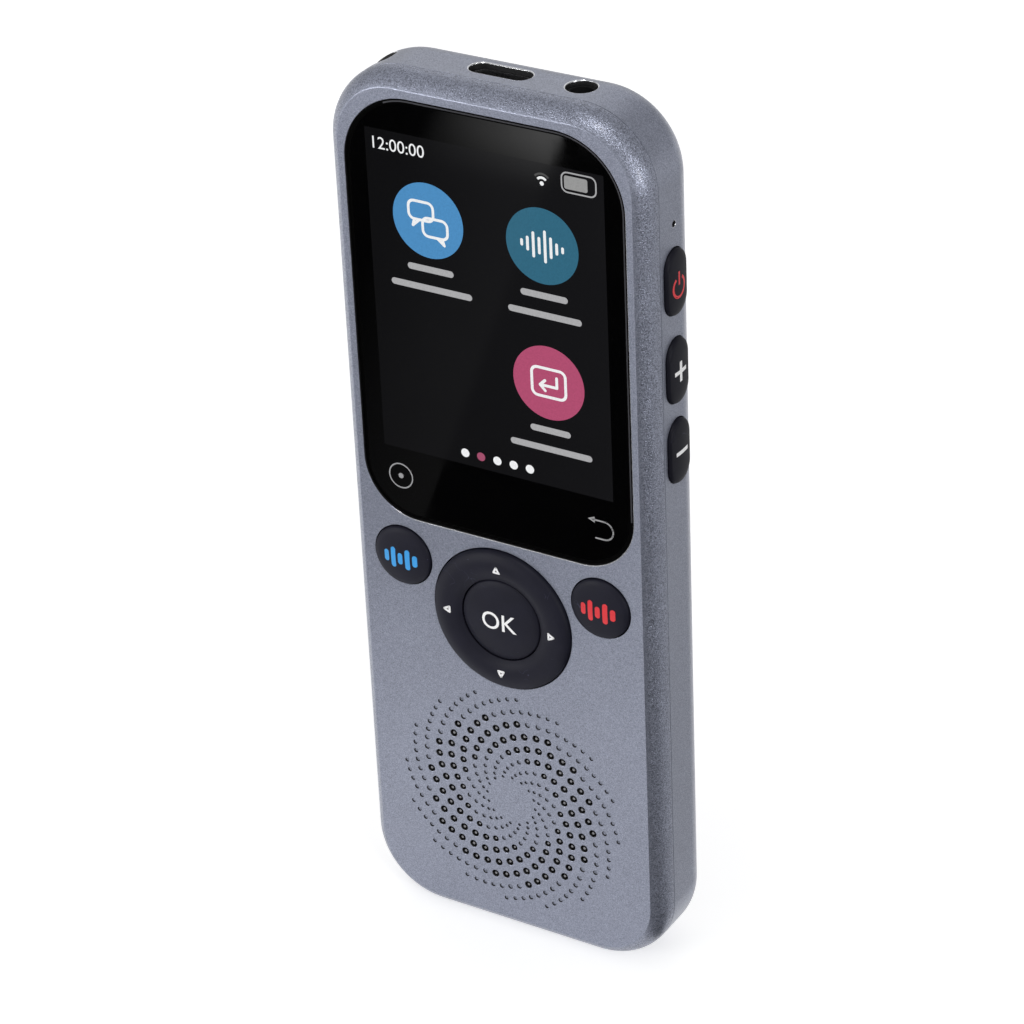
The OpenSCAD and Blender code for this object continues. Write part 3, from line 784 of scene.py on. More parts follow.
def spiral_spots(tree):
    """The points of the spiral, which of them are open holes, and the diameters of both kinds."""
    arms, steps = tree.given("Arms"), tree.given("Steps")
    first, last = tree.given("First open"), tree.given("Last open")
    points = tree.add("GeometryNodePoints", {}, arms * steps).link()
    index = tree.add("GeometryNodeInputIndex").value()
    arm = (index / steps).math("FLOOR")
    step = index.math("FLOORED_MODULO", steps)
    sway = ((step + SWAY_START) * math.radians(360 / SWAY_STEPS)).math("SINE")
    turn = (step * TURN_STEP + TURN_START - sway * SWAY) * math.radians(1)
    radius = (turn * ARM_GROWTH + ARM_START - turn * turn * turn * ARM_SLOWING) * MM
    angle = arm * math.tau / arms - turn
    place = tree.add("ShaderNodeCombineXYZ", {}, radius * angle.math("COSINE"), tree.given("Face"),
                     radius * angle.math("SINE") + tree.given("Centre height"))
    moved = tree.add("GeometryNodeSetPosition", {}, points, Position=place.link())
    low_left = abs((angle + 2 * math.tau).math("FLOORED_MODULO", math.tau)
                   - LAST_OPEN_WAY) < LAST_OPEN_SPREAD
    is_open = (step > first - 0.5) * (step < last - 0.5) + (abs(step - last) < 0.5) * low_left
    open_d = (tree.given("Open diameter") - FIRST_SMALLER + (step - first) * OPEN_GROWTH).math(
        "MINIMUM", tree.given("Open diameter"))
    inside = step < first - 0.5
    dimple_d = tree.given("Dimple diameter") - OUTER_LOSS * (step - last) * (1 - inside) \
        - ((first - step) * INNER_LOSS + INNER_SMALLER) * inside
    return moved.link(), is_open, open_d, dimple_d


def at_spots(tree, points, chosen, tool, wide):
    """A tool at the chosen points, widened there."""
    scale = tree.add("ShaderNodeCombineXYZ", {}, wide, 1.0, wide)
    shape = tree.add("GeometryNodeObjectInfo", {"transform_space": "ORIGINAL"},
                     Object=tree.given(tool))
    return tree.add("GeometryNodeInstanceOnPoints", {}, points, Selection=chosen > 0.5,
                    Instance=shape.link("Geometry"), Scale=scale.link()).link()


def spiral_tree(look, drill, dimple_tool, material):
    """Drills the spiral: open holes in the middle of each arm and dimples at both its ends."""
    tools = spiral_inputs(look, material, Drill=drill, Dimple_tool=dimple_tool)
    tree = Tree("spiral_of_holes", tools)
    points, is_open, open_d, dimple_d = spiral_spots(tree)
    cutters = []
    for chosen, tool, wide in ((is_open, "Drill", open_d / look.open_d),
                               (1 - is_open, "Dimple tool", dimple_d / look.dimple_d)):
        spots = at_spots(tree, points, chosen, tool, wide)
        cutters.append(tree.add("GeometryNodeRealizeInstances", {}, spots).link())
    drilled = tree.add("GeometryNodeMeshBoolean", {"operation": "DIFFERENCE", "solver": "EXACT"},
                       tree.given("Geometry"), tree.joined(cutters))
    tree.finish(drilled.link("Mesh"))
    return tree


def bead_tree(look, bead, material):
    """A bead in the middle of each open hole, whose grey top is a painted highlight of the lit
    wire.
    """
    tree = Tree("beads_in_holes", spiral_inputs(look, material, Bead=bead))
    points, is_open, open_d, _ = spiral_spots(tree)
    tree.finish(at_spots(tree, points, is_open, "Bead", open_d / look.open_d))
    return tree


def weave_tree(look, radius, low, high, material):
    """Two layers of straight wires, cut to a disc, one across the other."""
    tree = Tree("woven_wire", {
        "Radius": ("Float", radius),
        "Pitch": ("Float", look.pitch),
        "Wire": ("Float", look.wire),
        "Centre height": ("Float", SPEAKER.z),
        "Front": ("Float", low),
        "Back": ("Float", high),
        "Material": ("Material", material),
    })
    radius, pitch, wire = (tree.given(name) for name in ("Radius", "Pitch", "Wire"))
    up = tree.given("Centre height")
    count = (radius * 2 / pitch).math("FLOOR")
    wires = []
    for layer, across in (("Front", False), ("Back", True)):
        points = tree.add("GeometryNodePoints", {}, count).link()
        offset = (tree.add("GeometryNodeInputIndex").value() + 0.5) * pitch - radius
        half = (radius * radius - offset * offset).math("MAXIMUM", 0.0).math("SQRT")
        x, z = (0.0, offset + up) if across else (offset, up)
        spot = tree.add("ShaderNodeCombineXYZ", {}, x, tree.given(layer), z)
        placed = tree.add("GeometryNodeSetPosition", {}, points, Position=spot.link())
        rod = tree.add("GeometryNodeMeshCylinder", {}, Vertices=6, Radius=0.5, Depth=1.0)
        size = tree.add("ShaderNodeCombineXYZ", {}, wire, wire, half * 2)
        turned = tree.add("GeometryNodeInstanceOnPoints", {}, placed.link(),
                          Instance=rod.link("Mesh"), Scale=size.link(),
                          Rotation=(0, math.pi / 2 if across else 0, 0))
        wires.append(turned.link())
    tree.finish(tree.joined(wires))
    return tree


# ---- The pieces ----

class Build(bpy.types.Operator):
    """Shared by the operators that build a piece."""
    bl_options = {"REGISTER", "UNDO"}

    def execute(self, context):
        self.build(context.scene)
        return {"FINISHED"}


class TRANSLATOR_OT_front(Build):
    """Build the front shell with its openings and its spiral of sound holes"""
    bl_idname = "translator.front"
    bl_label = "Front shell"

    def build(self, scene):
        look, spiral = scene.case_look, scene.spiral_look
        paint = painted(look)
        shell = lofted("front_shell_dressed",
                       [case_ring(look, i, d) for i, d in self.section(look)], paint)
        cut(shell, self.wells(look, scene.screen_look))
        cut(shell, self.inner_cuts(look))
        grille = circle_outline(0, SPEAKER.z, GRILLE_R, 96)
        cut(shell, [[facing(grille, MESH_DEPTH), facing(grille, 2 * MM)]])
        tools = self.drill(spiral.open_d / 2), self.dimple_tool(spiral.dimple_d / 2)
        spiral_tree(spiral, *tools, paint).use(shell)
        for tool in tools:
            bpy.data.objects.remove(tool)
        smooth(shell)
        # Near-black walls inside the openings, holes and dimples: painted shade, over bare plastic
        # in the through holes.
        walls = plastic("hole_wall", (0.006, 0.006, 0.007), 0.6)
        # A bright metal edge on the glass opening's rim where it faces the light: a painted
        # highlight.
        rim = metal("bare_edge", (0.8, 0.81, 0.84), 0.2, 0.12 * MM)
        split_skin(shell, [paint, walls, rim], self.part)
        made_of(shell, "root", PAINT, ["front_shell"])

    def section(self, look):
        """Inset and depth round the shell: out over the crease and the roll, and back inside."""
        top = math.asin(look.seam / look.front_round)
        flat = look.front_round * (1 - math.cos(top))
        lean = math.pi / 2 - top
        reach = look.crease * math.tan(lean / 2)
        section = [(flat + reach - look.crease * math.sin(lean * i / 5),
                    look.crease * (1 - math.cos(lean * i / 5))) for i in range(6)]
        start, end = top - reach / look.front_round - math.radians(1), math.radians(3)
        for i in range(17):
            a = end + (start - end) * (1 - i / 16)
            section.append((look.front_round * (1 - math.cos(a)),
                            look.seam - look.front_round * math.sin(a)))
        seam = look.seam - look.seam_gap / 2
        lip = look.wall + 0.1 * MM
        cavity, step = lip + 0.8 * MM, 4.6 * MM
        return section + [(0, look.seam - 0.16 * MM), (0.03 * MM, seam - 0.03 * MM),
                          (0.1 * MM, seam), (lip, seam), (lip, step), (cavity, step),
                          (cavity, look.face_wall)]

    def wells(self, look, screen):
        """The openings of the face for the glass and the keys."""
        def well(centre, r):
            return eased(lambda grow: circle_outline(centre.x, centre.z, r + grow), facing,
                         look.edge, WELL_DEPTH)

        glass = eased(lambda grow: glass_outline(screen, GLASS_GAP + grow), facing, look.edge,
                      GLASS_DEPTH)
        return [glass, well(PAD, RING_WELL_R),
                *(well(middle(node), VOICE_WELL_R) for node in VOICE_KEYS)]

    def inner_cuts(self, look):
        """The window below the glass and the notch in the lip for the side keys."""
        window = box_outline(-19.8 * MM, 19.8 * MM, 75.8 * MM, 130.4 * MM, 1.8 * MM)
        near, far, low, high = 20 * MM, 27 * MM, 79.1 * MM, 119.1 * MM
        notch = [(near, low), (far, low), (far, high), (near, high)]
        seam = look.seam - look.seam_gap / 2
        return [[facing(window, 1.1 * MM), facing(window, 2 * MM)],
                [facing(notch, seam + 0.001 * MM), facing(notch, 6 * MM)]]

    def drill(self, r):
        """The tool for one open hole of the widest kind, with a softened rim."""
        return turned_tool("drill", (
            (r + 0.2 * MM, -0.1 * MM), (r + 0.1 * MM, -0.003 * MM), (r + 0.04 * MM, 0.025 * MM),
            (r, 0.1 * MM), (r, MESH_DEPTH + 0.2 * MM)))

    def dimple_tool(self, r):
        """The tool for one dimple of the widest kind, which has sloping walls."""
        return turned_tool("dimple_tool", (
            (r + 0.08 * MM, -0.1 * MM), (r, -0.003 * MM), (r * 0.8, 0.21 * MM),
            (r * 0.4, 0.23 * MM)))

    def part(self, x, d, z, normal):
        """1 for a wall inside an opening or a dimple, near black as painted shade; 2 for the bright
        edge that catches the light, a painted highlight; 0 elsewhere.
        """
        look = bpy.context.scene.case_look
        rim, grille_top, glass_low = 2.4 * MM, 45 * MM, 66 * MM
        if inside_outline(look, x, z) < rim:
            return 0
        if z < grille_top:
            return int(d > 0.03 * MM and abs(normal.y) < 0.75)
        # Only where the rim faces up and to the left, towards the light: a painted highlight.
        catches = normal.z - normal.x > 0.3 and z > glass_low
        if 0.0 < d < look.edge and catches and 0.15 < abs(normal.y) < 0.95:
            return 2
        return int(d > 0.07 * MM and abs(normal.y) < 0.6)


def turned_tool(name, levels, steps=18):
    """A turned shape, given by its radius at each depth."""
    return lofted(name, [[(x, d, z) for x, z in circle_outline(0, 0, r, steps)] for r, d in levels])


def glass_outline(screen, grow=0.0):
    return box_outline(-screen.half - grow, screen.half + grow, screen.low - grow,
                       screen.high + grow, screen.low_r + grow, screen.top_r + grow, steps=20)


class TRANSLATOR_OT_rear(Build):
    """Build the rear shell with the openings in its upper end and right side"""
    bl_idname = "translator.rear"
    bl_label = "Rear shell"

    def build(self, scene):
        look = scene.case_look
        paint = SKINS[PAINT]
        outer, inner = self.section(look)
        shell = lofted("rear_shell_dressed",
                       [case_ring(look, i, d) for i, d in outer[::-1] + inner], paint)
        cut(shell, self.cutters(look))
        smooth(shell)
        # Walls inside the openings are near black as painted shade, and bright edges round their
        # mouths are painted highlights.
        split_skin(shell, [paint, SKINS["hole_wall"], SKINS["bare_edge"]], self.part)
        made_of(shell, "root", PAINT, ["rear_shell"])
        # A near-black lining: painted shade inside the lanyard pocket.
        pocket = self.pocket(plastic("pocket_lining", (0.012, 0.012, 0.014), 0.5))
        made_of(pocket, "root", "black_plastic")

    def section(self, look):
        """Inset and depth of the outer and of the inner skin, both from the seam backwards."""
        back = BACK_Y - FACE_Y
        seam = look.seam + look.seam_gap / 2

        def roll(inset, depth, r, angles):
            return [(inset + r * (1 - math.cos(math.radians(a))),
                     depth - r + r * math.sin(math.radians(a))) for a in angles]

        outer = [(0.1 * MM, seam), (0.03 * MM, seam + 0.03 * MM), (0, seam + 0.1 * MM)]
        outer += roll(0, back, look.back_round, range(0, 91, 5))
        inner = [(look.wall, seam)]
        inner += roll(look.wall, back - 1.6 * MM, look.back_round - look.wall, range(0, 91, 15))
        return outer, inner

    def cutters(self, look):
        """The tools for the wells of the side keys, the microphone, the sockets and the pocket."""
        through = look.wall + 1 * MM

        def slot(across, up, w, h, place, edge):
            return eased(lambda grow: bar(across, up, w + 2 * grow, h + 2 * grow), place, edge,
                         through)

        def hole(across, up, r, place, edge, steps):
            return eased(lambda grow: circle_outline(across, up, r + grow, steps), place, edge,
                         through)

        wells = [slot(SIDE_WELL_D, middle(node).z, SIDE_WELL_W, SIDE_WELL_H, on_right,
                      look.edge * 0.8) for node in SIDE_KEYS]
        mic = hole(MIC_D, middle("microphone").z, MIC_R, on_right, 0.06 * MM, 24)
        usb = slot(USB_X, USB_D, USB_W, USB_H, on_top, 0.2 * MM)
        audio = hole(AUDIO_X, AUDIO_D, AUDIO_R, on_top, 0.2 * MM, 48)
        pocket = [in_corner(pocket_outline(0.44 * MM), 12.2 * MM),
                  on_corner(pocket_outline(0.32 * MM), -0.01 * MM),
                  *eased(pocket_outline, on_corner, 0.14 * MM, 1 * MM, 0.024 * MM)[1:-1],
                  in_corner(pocket_outline(0), 7 * MM)]
        return [*wells, mic, usb, audio, pocket]

    def part(self, x, d, z, normal):
        """1 for a wall inside an opening, near black as painted shade over bare plastic; 2 for the
        bright edge round its mouth, a painted highlight; 0 elsewhere.
        """
        centre, outwards, along = corner_axes()
        spot = Vector((x - centre.x, 0, z - centre.z))
        in_pocket = spot.dot(outwards) > 6 * MM and abs(spot.dot(along)) < 4.3 * MM
        from_side, facing_side = HALF_W - x, abs(normal.x)
        # For each kind of opening: how deep the point is in it, how much the face is turned to
        # its mouth, whether it is near, where it starts and ends in depth, and the width of its
        # bright edge, a painted highlight.
        spots = ((from_side, facing_side, 79 * MM < z < 119 * MM, 4 * MM, 10.3 * MM, 0.0),
                 (from_side, facing_side, 119 * MM < z < 122 * MM, 6 * MM, 9 * MM, 0.06 * MM),
                 (CASE_H - z, abs(normal.z), -6 * MM < x < 15 * MM, 4.5 * MM, 10 * MM, 0.2 * MM),
                 (11.6 * MM - spot.length, abs(normal.dot(spot.normalized())), in_pocket,
                  5.4 * MM, 9.4 * MM, 0.1 * MM))
        for depth, tilt, near, first, last, edge in spots:
            if near and first < d < last and depth < 3.5 * MM:
                if depth < edge:
                    return 2 if tilt < 0.99 else 0
                return 1 if tilt < 0.7 else 0
        return 0

    def pocket(self, material):
        """The lining of the lanyard pocket, open outwards, near black as painted shade inside the
        pocket.
        """
        bm = bmesh.new()
        loft(bm, [in_corner(pocket_outline(0), 10.1 * MM), in_corner(pocket_outline(0), 7.6 * MM),
                  in_corner(pocket_outline(-1.7 * MM), 7.55 * MM)], closed_ends=False)
        bmesh.ops.reverse_faces(bm, faces=bm.faces)
        lining = as_object("lanyard_pocket", bm, material)
        skin = lining.modifiers.new("skin", "SOLIDIFY")
        skin.thickness = 0.3 * MM
        skin.offset = -1
        return smooth(settled(lining))


def on_right(points, depth):
    """Points given by depth and height, on the right side of the case."""
    return [(HALF_W - depth, FACE_Y + d, z) for d, z in points]


def on_top(points, depth):
    """Points given across and by depth, on the upper end of the case."""
    return [(x, FACE_Y + d, CASE_H - depth) for x, d in points]


def corner_axes():
    """The centre of the upper left corner, and the ways outwards and along its lanyard pocket."""
    corner = bpy.context.scene.case_look.corner
    c, s = math.cos(POCKET_WAY), math.sin(POCKET_WAY)
    return Vector((corner - HALF_W, FACE_Y, CASE_H - corner)), Vector((c, 0, s)), Vector((s, 0, -c))


def pocket_outline(grow):
    """The mouth of the lanyard pocket, along the corner and by depth. Its far side stays sharp."""
    return box_outline(-POCKET_HALF - grow, POCKET_HALF + grow, POCKET_FRONT - grow,
                       POCKET_BACK + min(grow, 0), max(POCKET_R + grow, 0.05 * MM), steps=8)


def in_corner(points, radius):
    """Points given along the upper left corner and by depth, at a radius from its centre."""
    centre, outwards, along = corner_axes()
    return [centre + outwards * radius + along * a + Vector((0, d, 0)) for a, d in points]


def on_corner(points, depth):
    """The same points, at a depth below the corner's rounded surface."""
    look = bpy.context.scene.case_look
    placed = []
    for a, d in points:
        past_roll = min(1.0, max(0.0, (d - (BACK_Y - FACE_Y - look.back_round)) / look.back_round))
        inset = look.back_round * (1 - math.sqrt(1 - past_roll * past_roll))
        placed += in_corner([(a, d)], math.sqrt((look.corner - inset) ** 2 - a * a) - depth)
    return placed


class TRANSLATOR_OT_screen(Build):
    """Build the cover glass and the picture on the display"""
    bl_idname = "translator.screen"
    bl_label = "Screen"

    def build(self, scene):
        screen = scene.screen_look
        self.glass = self.cover(screen)
        self.white = lit("display_white", (0.86, 0.87, 0.88))
        self.pale = lit("display_pale", (0.4, 0.4, 0.41))
        dark = drawn([bar(0.1, 104.45, 37.8, 49.7, 0.05)])
        self.film("display_dark", dark, lit_black(screen), 0.002 * MM)
        self.status()
        self.icons(screen)
        self.soft_keys()

    def cover(self, screen):
        """The cover glass, with an eased edge and rings for the painted highlight line in its
        border.
        """
        edge = 0.14 * MM
        rings = [facing(glass_outline(screen, -inset), screen.recess)
                 for inset in (0.64 * MM, *LINE_IN[::-1])]
        for turn in (0, 30, 60, 90):
            a = math.radians(turn)
            rings.append(facing(glass_outline(screen, -edge * (1 - math.sin(a))),
                                screen.recess + edge * (1 - math.cos(a))))
        rings.append(facing(glass_outline(screen), 1.1 * MM))
        glass = smooth(lofted("cover_glass", rings, black_glass()))
        # A near-black border as painted shade, and a grey line in it as a painted highlight.
        parts = [SKINS["screen_glass"], metal("glass_border", (0.0015, 0.0015, 0.0015), 0.3),
                 metal("glass_line", (0.09, 0.09, 0.1), 0.3)]
        split_skin(glass, parts, lambda x, d, z, normal: self.part(screen, x, z))
        return made_of(glass, "root", "screen_glass", ["screen_glass"])

    def part(self, screen, x, z):
        """0 for the clear middle of the glass, 2 for the pale line in its border, a painted
        highlight, 1 beside it, a near-black band of painted shade.
        """
        across = screen.half - abs(x)
        up = min(screen.high - z, z - screen.low)
        if across > 5 * MM and up > 5 * MM:
            return 0
        r = screen.top_r
        inset = r - math.hypot(max(0, r - across), max(0, r - up))
        # The pale line only along the upper edge and the upper right side: a painted highlight.
        pale = LINE_IN[0] < inset < LINE_IN[1] and z > LINE_LOW and (x > 0 or up < 1 * MM)
        return 2 if pale else 1

    def film(self, name, bm, material, thick=0.006 * MM):
        laid(name, bm, self.glass, material, "root", "display", thick=thick, grid=0)

    def status(self):
        """The clock, the signal and the battery along the upper edge of the display."""
        clock = text_mesh("12:00:00", 1.9 * MM, -13.4 * MM, 127.2 * MM)
        self.film("clock_digits", clock, self.white)
        x, z = 9.4, 126.3
        near = ring_shape(x, z, 0.85, 0.36, 40, 140, 12) + [circle_outline(x, z, 0.32, 20)]
        self.film("signal_near", drawn(near), self.white)
        far = ring_shape(x, z, 1.42, 0.3, 42, 138, 12)
        self.film("signal_far", drawn(far), lit("display_faint", (0.07, 0.07, 0.07)))
        x, z = 15.15, 127.25
        case = stroke(bar(x, z, 5.3, 2.9, 0.9), 0.22, True)
        self.film("battery_outline", drawn(case), self.pale)
        level = drawn([bar(x - 0.45, z, 3.6, 1.95, 0.3)])
        self.film("battery_level", level, lit("display_grey", (0.31, 0.31, 0.31)))

    def icons(self, screen):
        """Three round icons, each with its mark and two bars below it, and the page dots."""
        icons = ((-9.2, 116.9, screen.first, self.bubbles(), (7.5, 13.2)),
                 (9.06, 116.9, screen.second, self.waves(), (7.5, 11.7)),
                 (9.25, 96.0, screen.third, self.enter(), (6.5, 13.2)))
        for i, (x, z, shade, mark, widths) in enumerate(icons, 1):
            name = "icon_%d" % i
            x, z = x * MM, z * MM
            disc = drawn([circle_outline(0, 0, 5.7, 72)], x, z)
            self.film(name, disc, lit(name, shade), 0.004 * MM)
            self.film(name + "_mark", drawn(mark, x, z), self.white, 0.008 * MM)
            label = [bar(0, up, w, 1.0) for up, w in zip((-7.5, -10.45), widths)]
            self.film(name + "_label", drawn(label, x, z), self.pale)
        dots = [circle_outline(x, 81.5, 0.68, 28) for x in (-5.06, -2.44, 0.25, 2.94, 5.6)]
        now = drawn([dots.pop(1)])
        self.film("page_dots", drawn(dots), self.white)
        self.film("page_dot_now", now, lit("display_pink", (0.36, 0.08, 0.15)))

    def bubbles(self):
        """Two speech bubbles, one over the other."""
        w = 0.42
        one = box_outline(-3.1, 0.9, -0.1, 2.7, 0.9, steps=5)
        two = box_outline(-0.9, 3.1, -2.4, 0.4, 0.9, steps=5)
        return (stroke(one, w, True) + stroke(two, w, True)
                + stroke([(-2.2, -0.1), (-2.5, -1.1), (-1.4, -0.1)], w)
                + stroke([(1.4, -2.4), (2.5, -3.3), (2.2, -2.4)], w))

    def waves(self):
        """Bars of a sound wave about the middle."""
        heights = (1.1, 2.2, 3.9, 2.6, 4.9, 3.2, 1.8, 1.0)
        return [bar((i - 3.5) * 0.92, 0, 0.44, h) for i, h in enumerate(heights)]

    def enter(self):
        """A bent arrow in a rounded box."""
        w = 0.44
        case = box_outline(-2.7, 2.7, -2.2, 2.2, 0.9, steps=5)
        return (stroke(case, w, True) + stroke([(1.3, 1.0), (1.3, -0.5), (-1.4, -0.5)], w)
                + stroke([(-0.6, 0.3), (-1.4, -0.5), (-0.6, -1.3)], w))

    def soft_keys(self):
        """The two touch marks on the glass below the display."""
        dim = printed("soft_key_print", (0.36, 0.36, 0.37), 0.3)
        home = ring_shape(0, 0, 1.95, 0.2) + [circle_outline(0, 0, 0.42, 24)]
        self.film("home_mark", drawn(home, -16.3 * MM, 74.96 * MM), dim)
        left, right, top, low = 14.9, 17.4, 76.0, 73.1
        r = (top - low) / 2
        line = [(left + 0.6, top), (right, top), *arc(right, top - r, r, 90, -90, 12)[1:-1],
                (right, low), (right - 1.4, low)]
        head = [(left - 0.1, top), (left + 1.0, top - 0.5), (left + 1.0, top + 0.5)]
        self.film("back_mark", drawn(stroke(line, 0.24) + [head]), dim)


class TRANSLATOR_OT_keypad(Build):
    """Dress the direction ring, the middle button and the voice buttons, and print on them"""
    bl_idname = "translator.keypad"
    bl_label = "Keypad"

    def build(self, scene):
        look = scene.key_look
        skin = rubber(KEY_RUBBER, look.rubber)
        white = printed(PRINT_WHITE, look.white)
        ring = dressed("dpad_cap", skin, "dpad_cap", KEY_RUBBER)
        middle_key = dressed("ok_button", skin, "ok_button", KEY_RUBBER)
        arrows = []
        for quarter in range(4):
            turn = math.radians(90 * quarter)
            c, s = math.cos(turn), math.sin(turn)
            corners = [(out * c - side * s, out * s + side * c)
                       for out, side in ((9.2, 0.0), (8.35, 0.45), (8.35, -0.45))]
            arrows += stroke(corners, 0.34, True)
        laid("direction_arrows", drawn(arrows, PAD.x, PAD.z), ring, white, "dpad_cap", KEY_RUBBER,
             thick=look.print_t, grid=0.25 * MM)
        laid("ok_letters", text_mesh("OK", 2.9 * MM, PAD.x, PAD.z, 0.02 * MM), middle_key, white,
             "ok_button", KEY_RUBBER, thick=look.print_t, grid=0.7 * MM)
        heights = (1.9, 3.35, 1.9, 3.35, 1.9)
        bars = [bar((i - 2) * 1.2, -0.17, 0.8, h) for i, h in enumerate(heights)]
        for node, shade in zip(VOICE_KEYS, (look.blue, look.red)):
            key = dressed(node, skin, node, KEY_RUBBER)
            centre = middle(node)
            laid(node + "_bars", drawn(bars, centre.x, centre.z), key,
                 printed(node + "_ink", shade, 0.4), node, KEY_RUBBER, thick=look.print_t,
                 grid=0.8 * MM)


class TRANSLATOR_OT_side_keys(Build):
    """Dress the side buttons and print their symbols"""
    bl_idname = "translator.side_keys"
    bl_label = "Side buttons"

    def build(self, scene):
        look = scene.key_look
        # The keys' rubber darkened to 0.7: painted shade, because the right lamp lights the side
        # keys more.
        skin = rubber("side_rubber", scaled(look.rubber, 0.7))
        white = SKINS[PRINT_WHITE]
        red = printed("power_ink", look.red)
        for node, ink in zip(SIDE_KEYS, (red, white, white)):
            key = dressed(node, skin, node, KEY_RUBBER)
            centre = middle(node)
            laid(node + "_symbol", drawn(self.symbol(node), centre.y, centre.z), key, ink, node,
                 KEY_RUBBER, aim=on_side, thick=look.print_t, grid=0.8 * MM)

    def symbol(self, node):
        """A minus, a plus, or a broken ring with a stem."""
        level = bar(0, 0, 3.1, 0.62, 0.05)
        if node == "volume_down_button":
            return [level]
        if node == "volume_up_button":
            return [level, *(bar(0, up, 0.62, 1.24, 0.05) for up in (0.93, -0.93))]
        return ring_shape(0, -0.6, 1.5, 0.4, 122, 418, 40) + [bar(0, 0.7, 0.4, 2.0, 0.05)]


class TRANSLATOR_OT_speaker(Build):
    """Build the woven wire behind the sound holes, with a bead in each hole as a painted highlight
    of the lit wire
    """
    bl_idname = "translator.speaker"
    bl_label = "Speaker"

    def build(self, scene):
        look = scene.spiral_look
        wire = metal("speaker_mesh", (0.62, 0.62, 0.64), 0.4)
        low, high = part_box("speaker_mesh")
        weave = as_object("woven_wire", bmesh.new(), wire)
        weave_tree(look, (high.x - low.x) / 2, low.y + look.wire / 2, high.y - look.wire / 2,
                   wire).use(weave)
        for face in weave.data.polygons:
            face.use_smooth = True
        made_of(weave, "root", "speaker_mesh", ["speaker_mesh"])
        bead = turned_tool("bead", ((0.24 * MM, MESH_DEPTH), (0.24 * MM, 0.2 * MM),
                                    (0.21 * MM, 0.14 * MM)), 12)
        beads = as_object("mesh_beads", bmesh.new(), None)
        # The bead's grey top stands for the lit wire seen through the hole: a painted highlight.
        grey = plastic("bead_grey", (0.22, 0.22, 0.23), 0.5)
        bead_tree(look, bead, grey).use(beads)
        bpy.data.objects.remove(bead)
        smooth(beads)
        # The bead's sides near black: painted shade.
        split_skin(beads, [grey, SKINS["hole_wall"]], lambda x, d, z, normal: int(normal.y > -0.9))
        made_of(beads, "root", "speaker_mesh")


class TRANSLATOR_OT_sockets(Build):
    """Dress the sockets in the upper end and the lanyard bar"""
    bl_idname = "translator.sockets"
    bl_label = "Sockets"

    def build(self, scene):
        steel = metal("socket_steel", (0.5, 0.5, 0.52), 0.28)
        black = plastic("black_plastic", (0.012, 0.012, 0.013), 0.42)
        bar_steel = rubber("bar_steel", (0.02, 0.02, 0.022), 0.0)
        for node, skin, slot in (("usb_socket", steel, "socket_steel"),
                                 ("usb_tongue", black, "black_plastic"),
                                 ("audio_socket", black, "black_plastic"),
                                 ("lanyard_bar", bar_steel, "steel")):
            dressed(node, skin, "root", slot)


class TRANSLATOR_OT_inside(Build):
    """Give every inner part the finish of what it is made of"""
    bl_idname = "translator.inside"
    bl_label = "Inner parts"

    def build(self, scene):
        finishes = {
            "black_foam": rubber("black_foam", (0.02, 0.02, 0.02), 0.0),
            "display": plastic("display_panel", (0.012, 0.012, 0.014), 0.15),
            "steel": metal("steel", (0.56, 0.56, 0.58), 0.32),
            "flex_film": plastic("flex_film", (0.42, 0.2, 0.04), 0.25),
            "black_plastic": SKINS["black_plastic"],
            "circuit_board": board_finish(),
            "battery_pouch": metal("battery_pouch", (0.6, 0.61, 0.63), 0.4, 0.6 * MM),
            "wire_red": plastic("wire_red", (0.45, 0.02, 0.015), 0.35),
            "white_plastic": plastic("white_plastic", (0.7, 0.7, 0.66), 0.45),
            "speaker_cone": plastic("speaker_cone", (0.62, 0.6, 0.52), 0.85, 0.3 * MM),
            "keypad_rubber": rubber("keypad_rubber", (0.45, 0.45, 0.43), 0.3),
        }
        slots = {s["node"]: s["material_slot"] for s in frame["record"]["subparts"]}
        for node, obj in NODES.items():
            if obj.hide_render:
                continue
            obj.data.materials.clear()
            obj.data.materials.append(finishes[slots[node]])


